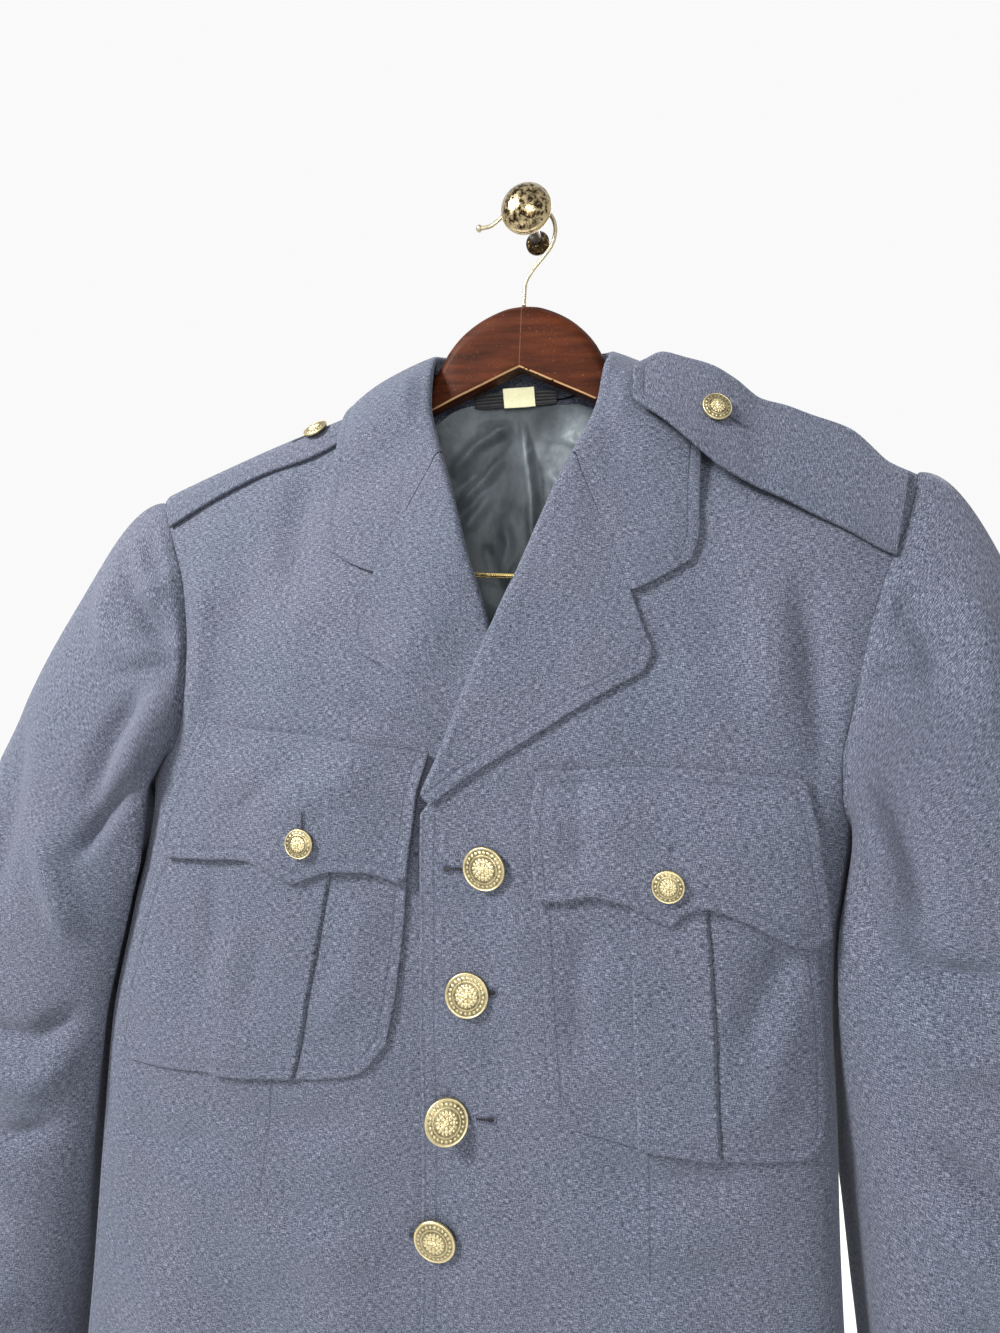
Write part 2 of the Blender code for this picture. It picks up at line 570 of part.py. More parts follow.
def pocket(side):
    """A breast pocket with the middle of its box pleat standing out."""
    spec = POCKETS[side]
    levels = np.array([0, 0.2, 0.4, 0.6, 0.8, 0.93, 1.0])
    shares = np.array([0, 0.1, 0.24, 0.37, 0.39, 0.5, 0.61, 0.63, 0.78, 0.9, 1.0])
    top, low = along(spec["top"], shares), along(spec["low"], shares)
    for i, pleat, shift in ((3, 0, 0.9 * side), (4, 0, -0.9 * side), (6, 1, 0.9 * side), (7, 1, -0.9 * side)):
        top[i] = np.array(spec["pleats"][pleat][0]) + (shift, 0)
        low[i] = np.array(spec["pleats"][pleat][1]) + (shift, 0)
    top[5] = (top[4] + top[6]) / 2
    low[5] = (low[4] + low[6]) / 2
    outer, inner = along(spec["outer"], levels), along(spec["inner"], levels)
    rows = []
    for i, u in enumerate(shares):
        line = top[i] + (low[i] - top[i]) * levels[:, None]
        line = line + (1 - u) ** 2 * (outer - (outer[0] + (outer[-1] - outer[0]) * levels[:, None]))
        line = line + u**2 * (inner - (inner[0] + (inner[-1] - inner[0]) * levels[:, None]))
        rows.append(line)
    flat = np.stack(rows)
    rise = np.full(flat.shape[:2], 2.5)
    rise[4:7] += 1.9
    return on_trunk(flat[..., 0], flat[..., 1], side, -1, rise)


def flap(side):
    """A scalloped pocket flap that lies over its pocket and pleat."""

    def lift(u, v):
        return 3.1 + 4.1 * ease(v, 0.0, 0.4) + 0.0 * u

    shares = np.linspace(0, 1, 15)
    return patch(FLAPS[side], side, shares, np.array([0, 0.3, 0.62, 1.0]), lift)


def strap_left():
    """The strap that lies on the left shoulder, its neck end under the collar."""
    rows = []
    for front_x, mid_x, back_x, front_drop, back_drop in STRAP_LEFT:
        row = []
        for share, face in ((1.0, -1), (0.42, -1), (0.1, -1), (0.0, 0), (0.09, 1), (0.42, 1), (1.0, 1)):
            far = front_x if face < 0 else back_x
            x = -(mid_x + (far - mid_x) * share)
            top = float(ridge(x, -1))
            rise = 3.1 + 0.6 * float(ease(mid_x, 108, 123))
            if face == 0:
                row.append(np.array([x, 0.0, top + rise + 0.4]))
                continue
            drop = (front_drop if face < 0 else back_drop) * share
            row.append(on_trunk(x, top - drop, -1, face, rise))
        rows.append(row)
    return np.array(rows)


def strap_right():
    """The strap that has rolled forward on the right shoulder, over the collar."""
    rows = []
    for front, back in STRAP_RIGHT:
        front, back = np.array(front, float), np.array(back, float)
        row = []
        for share, bulge in ((0, 0), (0.25, 1.6), (0.5, 2.4), (0.78, 2.2), (1.0, 0.0)):
            row.append(front + (back - front) * share + np.array([0, -0.9, 0.45]) * bulge)
        rows.append(row)
    for x_front, z_front, x_back, y_back in ((193, 46.5, 200, -4), (200.5, 43.5, 210, -4)):
        front = on_trunk(x_front, z_front, 1, -1, 3.0)
        back = np.array([x_back, y_back, float(shoulder_z(x_back, y_back, 1)) + 3.4])
        row = []
        for share, bulge in ((0, 0), (0.25, 2.2), (0.5, 4.0), (0.78, 4.6), (1.0, 0.0)):
            row.append(front + (back - front) * share + np.array([0, -0.75, 0.65]) * bulge)
        rows.append(row)
    return np.array(rows)


def armhole_line(side):
    """The armhole as a closed line, from the shoulder's tip forward and down, then up behind."""
    line = [np.array([side * ARMHOLE[side][0][0], 0.0, ARMHOLE[side][0][1]])]
    for x, z in ARMHOLE[side][1:]:
        line.append(on_trunk(side * x, z, side, -1))
    under = side_panel(side)[-1]
    line += [p for p in under]
    for x, z in ARMHOLE[side][:0:-1]:
        line.append(on_trunk(side * x, z, side, 1))
    line.append(line[0])
    return np.array(line)


def clear_of_trunk(points, side, margin):
    """Moves sleeve points sideways out of the trunk."""
    points = points.copy()
    for p in points.reshape(-1, 3):
        if p[2] > ARMPIT_Z + 40:
            continue
        half = float(look_up(BODY, p[2], 1 if side < 0 else 2)) + margin
        face = -1 if p[1] < 0 else 1
        deep = float(look_up(BODY, p[2], 3 if face < 0 else 4)) + margin
        root = half - 60.0
        way = np.array([side * p[0] - root, p[1]])
        low, high = 1.0, 1.0

        def inside(k):
            x, y = root + way[0] * k, way[1] * k
            return (abs(x) / half) ** 4 + (abs(y) / deep) ** 4 < 1.0

        if not inside(1.0):
            continue
        if way[0] < 1.0:
            way[0] = 1.0
        while inside(high) and high < 60:
            high *= 1.3
        for _ in range(24):
            mid = (low + high) / 2
            low, high = (mid, high) if inside(mid) else (low, mid)
        p[0], p[1] = side * (root + way[0] * high), way[1] * high
    return points


def sleeve_ring(side, station, turn):
    """Points of a sleeve's ring at a height, turn 0 outside, 0.25 in front, 0.5 inside, 0.75 behind."""
    z, left, right, wide, deep, mid_y = station
    angle = 2 * math.pi * np.asarray(turn)
    power = 2 / 2.5
    cos, sin = np.cos(angle), np.sin(angle)
    x = (left if side < 0 else right) + side * wide * np.sign(cos) * np.abs(cos) ** power
    y = mid_y - deep * np.sign(sin) * np.abs(sin) ** power
    return np.stack([x, y, np.full(len(angle), float(z))], axis=-1)


def sleeve(side, turns):
    """Rows of a sleeve from the armhole to the cuff over a share of its round."""
    turns = np.asarray(turns, float)
    start = along(armhole_line(side), turns % 1.0)
    angle = 2 * math.pi * turns
    under = np.maximum(-np.cos(angle), 0.0)
    over = np.maximum(np.cos(angle), 0.0)
    apart = [side * (1.0 + 3.0 * under + 2.2 * over), -1.8 * np.sin(angle) * under]
    start = start + np.stack(apart + [-0.3 + 0.2 * under + 5.0 * over**4], axis=-1)
    ring = sleeve_ring(side, SLEEVE[0], turns)
    length = np.linalg.norm(ring - start, axis=1)
    top, front = np.maximum(np.cos(angle), 0.0), np.sin(angle)
    leave = np.stack([side * (18 + 96 * top + 40 * np.abs(front)), -20 * front, -12 + 100 * top**2], axis=-1)
    leave *= np.minimum(length / 150.0, 1.0)[:, None]
    arrive = np.array([side * 0.22, 0.0, -1.0]) * length[:, None] * 0.85
    rows = []
    for t in CAP_STEPS:
        rows.append(
            (1 + 2 * t) * (1 - t) ** 2 * start + t * (1 - t) ** 2 * leave
            + t * t * (3 - 2 * t) * ring + t * t * (t - 1) * arrive
        )
    for station in SLEEVE:
        rows.append(sleeve_ring(side, station, turns))
    rows = np.stack(rows)
    rows[2:] = clear_of_trunk(rows[2:], side, 5.4)
    return rows


def lining():
    """The satin behind the neck and shoulders, with a pleat down the middle."""
    xs = np.array([-150, -110, -75, -48, -26, -7, -2, 6, 26, 48, 75, 110, 150], float)
    top = [(0, 135.6), (30, 135.6), (44, 132), (55, 124), (75, 111), (110, 91), (150, 72)]
    rows = []
    for t in (0, 0.06, 0.16, 0.28, 0.42, 0.58, 0.76, 1.0):
        row = []
        for x in xs:
            side = -1 if x < 0 else 1
            z = float(look_up(top, abs(x))) * (1 - t) + -125.0 * t
            inward = -2.2 - 1.8 * float(ease(t, 0, 0.15))
            inward -= 2.4 * float(ease(abs(x), 20, 45) * (1 - ease(abs(x), 100, 125)))
            if x == -7.0:
                inward -= 1.6
            row.append(on_trunk(np.array(x), np.array(z), side, 1, np.array(inward)))
        rows.append(row)
    return np.array(rows).reshape(len(rows), len(xs), 3)


def button(name, centre, normal, radius, turn=0.0, tip=0.0):
    """A domed button with a raised rim, standing just off the cloth."""
    normal = np.array(normal, float)
    normal /= np.linalg.norm(normal)
    side_way = np.cross(normal, [0, 0, 1.0])
    side_way /= np.linalg.norm(side_way)
    up = np.cross(side_way, normal)
    a, b = math.radians(turn), math.radians(tip)
    normal = normal * math.cos(a) * math.cos(b) + side_way * math.sin(a) + up * math.sin(b)
    normal /= np.linalg.norm(normal)
    side_way = np.cross(normal, [0, 0, 1.0])
    side_way /= np.linalg.norm(side_way)
    up = np.cross(side_way, normal)
    r = radius
    outline = [
        (r * 0.4, 0.0), (r * 0.86, 0.7), (r * 0.99, 1.3), (r, 1.9), (r * 0.93, 2.4), (r * 0.86, 2.25),
        (r * 0.55, 3.2), (r * 0.2, 3.65),
    ]
    return lathe(name, outline, 16, "button_brass", centre, (side_way, up, normal))


def wood():
    """The hanger's shaped body, its upper edge rounded."""
    rows = sorted(WOOD)
    xs = [-r[0] for r in rows[:0:-1]] + [r[0] for r in rows]
    ring = [(-1, -1.0), (-0.74, -0.53), (-0.4, -0.22), (0, 0.0), (0.4, -0.22), (0.74, -0.53), (1, -1.0), (1, None),
            (0.75, None), (-0.75, None), (-1, None)]
    verts, faces = [], []
    for x in xs:
        low, high, half = (float(look_up(WOOD, abs(x), c)) for c in (2, 1, 3))
        low, high = low + WOOD_TILT * x, high + WOOD_TILT * x
        crown = 4.5 + 5.5 * float(ease(abs(x), 34, 50))
        crown = min(crown, (high - low) * 0.7)
        for across, share in ring:
            if share is None:
                z = low + (1.2 if abs(across) == 1 else 0.0)
            else:
                z = high + crown * share
            verts.append((x, across * half, z))
    n = len(ring)
    for i in range(len(xs) - 1):
        for k in range(n):
            m = (k + 1) % n
            faces.append((i * n + k, i * n + m, (i + 1) * n + m, (i + 1) * n + k))
    faces.append(tuple(reversed(range(n))))
    faces.append(tuple(range((len(xs) - 1) * n, len(xs) * n)))
    return finish("hanger_wood", verts, faces, "hanger_wood")


def wire_hook():
    """The hook over the knob's neck, with a small ball at its tip."""
    path = along([(x, 0.0, z) for x, z in HOOK], np.linspace(0, 1, 30))
    end = path[-1] - path[-2]
    end /= np.linalg.norm(end)
    radii = [HOOK_RADIUS] * len(path)
    extra = [path[-1] + end * d for d in (0.8, 2.0, 3.2, 3.9)]
    return tube("hanger_hook", list(path) + extra, radii + [1.9, 2.2, 1.8, 0.8], 8, "hook_steel")


def trouser_bar():
    """The rod between the hanger's arms, its ends turned up to the wood."""
    up = float(look_up(WOOD, BAR_HALF, 2))
    right, left = up + WOOD_TILT * BAR_HALF - 0.8, up - WOOD_TILT * BAR_HALF - 0.8
    path = [(-BAR_HALF, 0, left), (-BAR_HALF, 0, BAR_Z + 8), (-BAR_HALF + 2.4, 0, BAR_Z + 2.4),
            (-BAR_HALF + 8, 0, BAR_Z), (0, 0, BAR_Z - 0.4), (BAR_HALF - 8, 0, BAR_Z),
            (BAR_HALF - 2.4, 0, BAR_Z + 2.4), (BAR_HALF, 0, BAR_Z + 8), (BAR_HALF, 0, right)]
    return tube("trouser_bar", path, [BAR_RADIUS] * len(path), 8, "bar_brass")


def loop_and_label():
    """The tape the jacket can hang by, and the bare label over it."""
    xs = np.array([-31, -27, -20, -10, 0, 8, 15, 19.5])
    bow = np.array([0, 0.8, 1.8, 2.4, 2.4, 1.8, 0.8, 0])
    base = np.array([float(trunk_y(abs(x), 137.0, 1, 1)) for x in xs])
    level = 138.0 + 0.06 * xs
    rows = []
    for step in (-4.6, 4.6):
        rows.append(np.stack([xs, base - 4.4 - bow, level + step], axis=-1))
    cloth("hanging_loop", np.array(rows), 1.2, "loop_tape")
    xs = np.array([-13.5, -7, 0, 5.5])
    base = np.array([float(trunk_y(abs(x), 137.0, 1, 1)) for x in xs])
    level = 138.4 + 0.06 * xs
    rows = []
    for step in (-5.8, 0, 5.8):
        rows.append(np.stack([xs, base - 8.2, level + step], axis=-1))
    cloth("label", np.array(rows), 0.8, "label_cloth")


for old in list(bpy.data.objects):
    bpy.data.objects.remove(old, do_unlink=True)
PARTS = bpy.data.collections.new("air_force_service_jacket")
bpy.context.scene.collection.children.link(PARTS)
MATERIALS = {}
for key, (colour, rough, metal) in COLOURS.items():
    made = bpy.data.materials.new(key)
    made.use_nodes = True
    shader = made.node_tree.nodes["Principled BSDF"]
    shader.inputs["Base Color"].default_value = colour
    shader.inputs["Roughness"].default_value = rough
    shader.inputs["Metallic"].default_value = metal
    MATERIALS[key] = made

lathe("wall_knob", KNOB, 20, "knob_brass", (0, 0, 242.0), ((1, 0, 0), (0, 0, 1), (0, 1, 0)))
wire_hook()
wood()
trouser_bar()
for hand, word in ((-1, "left"), (1, "right")):
    cloth(f"front_{word}", trunk_panel(hand, -1), CLOTH, keep=off_ridge(hand, -1))
    cloth(f"back_{word}", trunk_panel(hand, 1), CLOTH, keep=off_ridge(hand, 1))
    cloth(f"side_{word}", side_panel(hand), CLOTH)
    cloth(f"lapel_{word}", lapel(hand), CLOTH)
    cloth(f"pocket_{word}", pocket(hand), CLOTH)
    cloth(f"flap_{word}", flap(hand), FLAP)
    seam_a, seam_b = 0.345, 0.675
    gap = 0.002
    for piece, turns in (("top", np.linspace(seam_b - 1.0 + gap, seam_a - gap, 12)),
                         ("under", np.linspace(seam_a + gap, seam_b - gap, 8))):
        lean = sleeve(hand, turns + 0.012) - sleeve(hand, turns - 0.012)
        cloth(f"sleeve_{piece}_{word}", sleeve(hand, turns), CLOTH, across=lean)
    bx, bz = FLAP_BUTTONS[hand]
    spot, way = on_trunk(bx, bz, hand, -1, 7.0), on_trunk(bx, bz, hand, -1, 8.0)
    button(f"pocket_button_{word}", spot + (way - spot) * (FLAP / 2 + 0.4), way - spot, SMALL_RADIUS)
cloth("collar", collar(), CLOTH)
cloth("strap_left", strap_left(), STRAP)
cloth("strap_right", strap_right(), STRAP)
for word, grid, i, j in (("left", strap_left(), 2, 2), ("right", strap_right(), 4, 2)):
    way = np.cross(grid[i + 1, j] - grid[i - 1, j], grid[i, j + 1] - grid[i, j - 1])
    way *= np.sign(way[2]) / np.linalg.norm(way)
    button(f"strap_button_{word}", grid[i, j] + way * (STRAP / 2 + 0.45), way, SMALL_RADIUS)
for number, (bx, bz, turn, tip) in enumerate(FRONT_BUTTONS, 1):
    spot, way = on_trunk(bx, bz, 1, -1, 0.0), on_trunk(bx, bz, 1, -1, 1.0)
    reach = CLOTH / 2 + 0.6 + max(0.0, 0.86 * BIG_RADIUS * math.sin(math.radians(math.hypot(turn, tip))) - 0.7)
    button(f"front_button_{number}", spot + (way - spot) * reach, way - spot, BIG_RADIUS, turn, tip)
cloth("back_lining", lining(), LINING, "lining_satin")
loop_and_label()
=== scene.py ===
"""Looks of a service dress jacket that hangs on a wooden hanger from a brass wall knob.

The tables are in millimetres in the garment's own frame: X to the viewer's right, Y away from the viewer with
0 at the hanger's plane, Z up with 0 at the level the jacket is seen from. to_row() moves them into the shared
frame, whose origin is the flat back of the wall knob. Side.LEFT is the viewer's left, and -1 in the tables.
"""

import logging
import math
from dataclasses import dataclass, field
from enum import Enum
from typing import Any, Callable, Sequence

import bpy
import numpy as np
from mathutils import Matrix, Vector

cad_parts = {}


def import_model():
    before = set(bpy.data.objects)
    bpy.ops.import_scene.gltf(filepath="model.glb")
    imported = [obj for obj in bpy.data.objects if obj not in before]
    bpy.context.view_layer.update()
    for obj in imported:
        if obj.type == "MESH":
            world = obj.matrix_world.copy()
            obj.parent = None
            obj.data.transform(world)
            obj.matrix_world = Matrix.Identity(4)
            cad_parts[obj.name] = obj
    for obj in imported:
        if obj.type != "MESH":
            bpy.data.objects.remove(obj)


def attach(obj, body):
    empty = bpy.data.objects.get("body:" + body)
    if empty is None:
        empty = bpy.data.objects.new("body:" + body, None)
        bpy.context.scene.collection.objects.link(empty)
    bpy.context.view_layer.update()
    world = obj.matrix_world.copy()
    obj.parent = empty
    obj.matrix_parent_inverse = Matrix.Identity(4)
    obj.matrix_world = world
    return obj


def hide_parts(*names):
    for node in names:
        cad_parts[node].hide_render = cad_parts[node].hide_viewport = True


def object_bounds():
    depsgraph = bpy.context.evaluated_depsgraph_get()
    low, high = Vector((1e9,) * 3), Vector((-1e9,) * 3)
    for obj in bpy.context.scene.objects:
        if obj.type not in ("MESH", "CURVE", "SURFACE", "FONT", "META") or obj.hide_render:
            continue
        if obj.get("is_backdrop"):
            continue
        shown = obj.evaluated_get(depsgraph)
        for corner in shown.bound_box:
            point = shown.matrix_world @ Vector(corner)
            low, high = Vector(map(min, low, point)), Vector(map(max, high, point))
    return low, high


LOG = logging.getLogger("jacket")

# Where the garment's frame sits behind and below the knob's back face
HANGER_Y = -36.0
LEVEL_Z = -242.0
KNOB_Z = 242.0

# How blunt the trunk's outline and its shoulders are, and how far below the ridge its full depth comes
OUTLINE_POWER = 4.0
SHOULDER_POWER = 1.5
FRONT_REACH = 250.0
BACK_REACH = 90.0
SIDE_SEAM = 0.955
ARMPIT_Z = -93.0
HEM_Z = -620.0
SEAM = 0.3

# Where the fronts' and backs' level rows end, where the side panels' do, and where the back neck lies
LEVEL_TOP_Z = -99.5
PANEL_TOP_Z = -138.0
BACK_NECK_Z = 137.0
# Where the sleeves' level rows start, and how long they are from there
SLEEVE_TOP_Z = -150.0
SLEEVE_REST = 395.0
# A distance that stands for no sewn groove near
NO_GROOVE = 99.0
# The buttons' radii
BIG_RADIUS = 11.45
SMALL_RADIUS = 7.95

# height, half width on the left, half width on the right, depth in front, depth behind
BODY = [
    (190, 240, 232, 57, 30),
    (60, 240, 228, 57, 30),
    (0, 232, 218, 57, 30),
    (-60, 218, 200, 58, 31),
    (-118, 212, 186, 58, 31),
    (-180, 222, 181, 57, 30),
    (-250, 234, 186, 56, 29),
    (-310, 237, 190, 55, 28),
    (-400, 240, 198, 55, 29),
    (-500, 245, 206, 56, 31),
    (-620, 250, 212, 58, 32),
]
# distance from the middle, height of the shoulder ridge on the left
RIDGE = [
    (0, 180), (25, 174), (45, 161), (57, 150), (70, 141), (85, 131.5), (100, 122.5), (119, 113.8),
    (139, 106.3), (171, 93.2), (204, 79.2), (232, 66.8), (260, 54.5),
]
RIGHT_LIFT = 15.0
# distance from the middle, height of the back neck seam
BACK_NECK = [(0, 137), (25, 138.6), (45, 144.5), (57, 150)]
# height, left front's fold and edge, right front's fold and edge
EDGE = [
    (93, -36.5, 36.5), (69, -27, 27), (32, -14.4, 14.2), (-7, -1, -1), (-40, 8, -12), (-70, 15.5, -22.6),
    (-94, 21, -31), (-103, 21.5, -31.6), (-144, 20, -29.7), (-196, 17, -27.9), (-248, 13, -24.8),
    (-310, 10, -22), (-400, 8, -19), (-500, 6, -16), (-620, 4, -11),
]
# height, cloth edge of the left front's panel, cloth edge of the right front's panel
INNER = [
    (150, -57, 57), (142, -56, 56), (123, -54.5, 54.5), (105, -48.5, 48.5), (93, -43, 43),
    (69, -33.5, 33.5), (32, -20.9, 20.7), (-7, -7.5, 5.5), (-50, 4.6, -8.9), (-80, 12, -20.2),
    (-92.5, 16.4, -26.4), (-99, 21.3, -31.3), (-144, 20, -29.7), (-196, 17, -27.9), (-248, 13, -24.8),
    (-310, 10, -22), (-400, 8, -19), (-500, 6, -16), (-620, 4, -11),
]
# armholes from the shoulder's tip down to the armpit: distance out, height
ARMHOLE = {
    -1: [
        (230, 67.8), (221, 54), (212, 39), (204, 25), (197, 10), (190, -14), (185.5, -39), (184, -60),
        (188, -77),
    ],
    1: [
        (216, 88.8), (210, 67.5), (203, 48), (196, 30), (190.5, 11), (185, -17), (180, -39), (176.5, -60),
        (177, -76),
    ],
}
# lapels: the end at the gorge from the fold to the point, then the free edge from there to the last button
LAPEL_END = {
    -1: [(-36.5, 93), (-47, 71), (-57.5, 48.5), (-68, 26), (-75, 9), (-79.5, -3)],
    1: [(36.5, 93), (48, 68.5), (59, 44.5), (70.5, 20.5), (78, 2), (82.3, -8)],
}
LAPEL_EDGE = {
    -1: [(-79.5, -3), (-80.5, -9), (-77.5, -14.5), (-54.3, -26.4), (-37.6, -39.2), (-20, -55.8), (-2, -73),
         (9, -85), (15, -94)],
    1: [(82.3, -8), (82.9, -13.5), (80, -19), (65.1, -28.8), (51.3, -37.9), (31, -52), (9.9, -66.5),
        (-9, -80), (-25.5, -94)],
}
# breast pocket flaps: top, outer edge, lower edge from outside to inside, inner edge
FLAPS = {
    -1: dict(
        top=[(-168.8, -62.7), (-130, -63.5), (-93.2, -64.6), (-60, -66.5), (-30, -68.8)],
        low=[(-187.2, -134.5), (-179.3, -139), (-150.1, -135.6), (-125.9, -133.7), (-112.5, -137.2),
             (-99.6, -141.4), (-88.5, -136.8), (-76, -132.6), (-58, -131.8), (-41, -135.4), (-35.8, -131)],
        outer=[(-168.8, -62.7), (-178.1, -97.1), (-187.2, -134.5)],
        inner=[(-30, -68.8), (-34.4, -96), (-35.8, -131)],
    ),
    1: dict(
        top=[(158, -67.8), (125, -66.6), (92, -66.2), (60, -68.6), (28.5, -72.3)],
        low=[(169.7, -142), (162.5, -145.6), (130.6, -135.2), (115, -130.5), (105, -133.6), (96.6, -141),
             (86, -137.2), (74, -131.8), (61, -130.4), (44, -135), (31, -136)],
        outer=[(158, -67.8), (164, -103), (169.7, -142)],
        inner=[(28.5, -72.3), (27.4, -97.4), (31, -136)],
    ),
}
# breast pockets, and the outer then the inner fold of each box pleat from top to bottom
POCKETS = {
    -1: dict(
        top=[(-175, -97), (-37, -98)],
        low=[(-212.6, -252), (-206, -260), (-146.9, -254.6), (-95.1, -248.5), (-60, -240), (-45.4, -223)],
        outer=[(-175, -97), (-188.8, -145), (-203.7, -196), (-212.6, -252)],
        inner=[(-37, -98), (-37.6, -137.6), (-40.7, -190), (-45.4, -223)],
        pleats=(((-122.5, -97), (-145.7, -254)), ((-75.5, -98), (-96.7, -248.5))),
    ),
    1: dict(
        top=[(157, -98), (30, -100)],
        low=[(175.2, -243), (167, -252), (125, -253), (95, -252), (58, -249), (43.5, -234)],
        outer=[(157, -98), (167, -150), (171.5, -190), (175.2, -243)],
        inner=[(30, -100), (33.7, -140), (38.5, -195), (43.5, -234)],
        pleats=(((109.5, -99), (125, -253)), ((75, -99), (88, -252))),
    ),
}
# right shoulder strap, rolled forward over the collar: front edge and back edge, from the neck to the sleeve
STRAP_RIGHT = [
    ((67.3, -34, 122), (66.3, -22, 144.0)),
    ((76, -35, 116.5), (72.9, -16, 149.0)),
    ((85, -36, 110.3), (81, -14, 153.0)),
    ((97.8, -36, 99.7), (93.3, -14, 149.8)),
    ((112.4, -34, 87.7), (106.7, -14, 145.6)),
    ((122, -32.5, 82), (119.6, -12, 138.4)),
    ((133, -30.5, 76.5), (133.8, -8, 128.5)),
    ((146, -29.7, 71), (147, -6, 125.2)),
    ((160, -28.3, 64), (161, -5, 120)),
    ((178, -26.5, 55.6), (180, -4, 113)),
]
# left shoulder strap: distance out of its front edge, its middle and its back edge, and how far below the
# ridge its front edge and its back edge lie
STRAP_LEFT = [
    (98, 98, 98, 15, 14), (106, 106, 106, 16, 15), (123, 123, 123, 17.5, 17), (154, 154, 154, 15.5, 17.5),
    (187, 187, 187, 17.5, 17.5), (207, 208, 207, 20.5, 17), (216.5, 226, 217, 22, 15),
]
# sleeve rings: height, middle on the left, middle on the right, half width, half depth, y of the middle
SLEEVE = [
    (-150, -265, 241, 71.5, 46, -13), (-205, -281, 252, 70.5, 45.5, -13.5),
    (-265, -293, 263, 69.5, 44.5, -14.5), (-330, -302, 272, 68, 43, -16), (-400, -309, 279, 65.5, 41, -19),
    (-470, -313.5, 283, 63, 38.5, -24), (-545, -316, 286, 61, 36, -30),
]
# front buttons: x, z, turn about the upright axis and about the level one in degrees
FRONT_BUTTONS = [(4.6, -123.5, 4, -3), (-2.4, -189.8, -2, 4), (-9.6, -254.5, -24, 14), (-14, -319.5, 3, -2)]
# front buttonholes: x of the eyelet's end and of the other one, then their z
FRONT_HOLES = [
    (-17.0, 8.0, -126.4, -124.6), (12.6, -12.0, -187.2, -189.4), (14.6, -10.0, -252.2, -255.4),
    (-28.0, -4.0, -320.6, -319.2),
]
# lower darts of the fronts: their upper and lower ends, across and up
DARTS = {-1: ((-109.3, -248), (-114.6, -318)), 1: ((92, -250), (96, -318))}
FLAP_BUTTONS = {-1: (-94.6, -119.4), 1: (95.3, -120.6)}
# hanger's wood: distance out, upper z, lower z, half thickness
WOOD = [
    (0, 187.2, 150.0, 7), (8, 186.4, 146.6, 7), (15, 184.3, 143.4, 7), (26, 179, 138.4, 7),
    (36.5, 170.8, 133.7, 7), (44, 162, 130.3, 6.4), (50, 151.4, 127.6, 5.8), (57, 143.2, 124.2, 6.2),
    (70, 135.2, 117.5, 6.6), (85, 126.2, 109.5, 7), (100, 118, 101.5, 7), (119, 109.6, 92.5, 7),
    (139, 101.6, 84, 7), (171, 88.4, 72, 6.6), (200, 75.6, 61.5, 6), (208, 69.5, 61.5, 5),
]
WOOD_TILT = 0.02
# hook's wire from the wood to its tip: x, z
HOOK = [
    (0, 187.6), (0.1, 200), (4.4, 208.8), (11.2, 217.2), (15.6, 223.9), (16.9, 231.4), (15.0, 238.2),
    (10.4, 243.6), (4.5, 246.5), (-1, 247.2), (-7, 246.2), (-12.8, 243.4), (-17.3, 239.6), (-20.4, 236.9),
    (-23.4, 235.5), (-27, 235.3),
]
# wall knob's outline: radius, y
KNOB = [
    (7.5, 36), (7.5, 34.8), (5, 33.6), (3.4, 32), (3.2, 0), (5, -2.2), (12, -2.9), (14.5, -4), (14.9, -5.6),
    (14.5, -7.3), (13.9, -7.8), (13.5, -8.4), (11.6, -11), (8, -13.1), (3.8, -14.3),
]

Grid = np.ndarray
Socket = bpy.types.NodeSocket


class Side(Enum):
    """A side of the jacket as the viewer sees it."""

    LEFT = -1
    RIGHT = 1

    @property
    def word(self) -> str:
        """The side's name in the names of pieces."""
        return self.name.lower()


class Face(Enum):
    """The front or the back of the trunk."""

    FRONT = -1
    BACK = 1


def ease(value: Any, low: float, high: float) -> Grid:
    """0 below low, 1 above high and smooth between."""
    t = np.clip((np.asarray(value, float) - low) / (high - low), 0.0, 1.0)
    return t * t * (3.0 - 2.0 * t)


def look_up(rows: Sequence[Sequence[float]], at: Any, column: int = 1) -> Grid:
    """Reads one column of a table at a place, through every row and without overshoot.

    Args:
        rows: The table, its first column the place.
        at: Where to read it.
        column: Which column to read.

    Returns:
        The smooth value at each place.
    """
    rows = sorted(rows)
    xs = np.array([row[0] for row in rows], float)
    ys = np.array([row[column] for row in rows], float)
    step = np.diff(xs)
    slope = np.diff(ys) / step
    lean = np.zeros(len(xs))
    lean[0], lean[-1] = slope[0], slope[-1]
    same = slope[:-1] * slope[1:] > 0
    both = np.where(same, slope[:-1] + slope[1:], 1.0)
    lean[1:-1] = np.where(same, 2.0 * slope[:-1] * slope[1:] / both, 0.0)
    at = np.asarray(at, float)
    k = np.clip(np.searchsorted(xs, at) - 1, 0, len(xs) - 2)
    h = step[k]
    t = np.clip((at - xs[k]) / h, 0.0, 1.0)
    return (
        (1 + 2 * t) * (1 - t) ** 2 * ys[k] + t * (1 - t) ** 2 * h * lean[k]
        + t * t * (3 - 2 * t) * ys[k + 1] + t * t * (t - 1) * h * lean[k + 1]
    )


def along(points: Any, at: Any) -> Grid:
    """Finds points at shares of a smooth line's length.

    Args:
        points: The line's points.
        at: Shares of its length, 0 to 1.

    Returns:
        A point for each share.
    """
    points = np.array(points, float)
    run = np.concatenate([[0.0], np.cumsum(np.linalg.norm(np.diff(points, axis=0), axis=1))])
    run /= run[-1]
    return np.stack([look_up(list(zip(run, points[:, i])), at) for i in range(points.shape[1])], axis=-1)


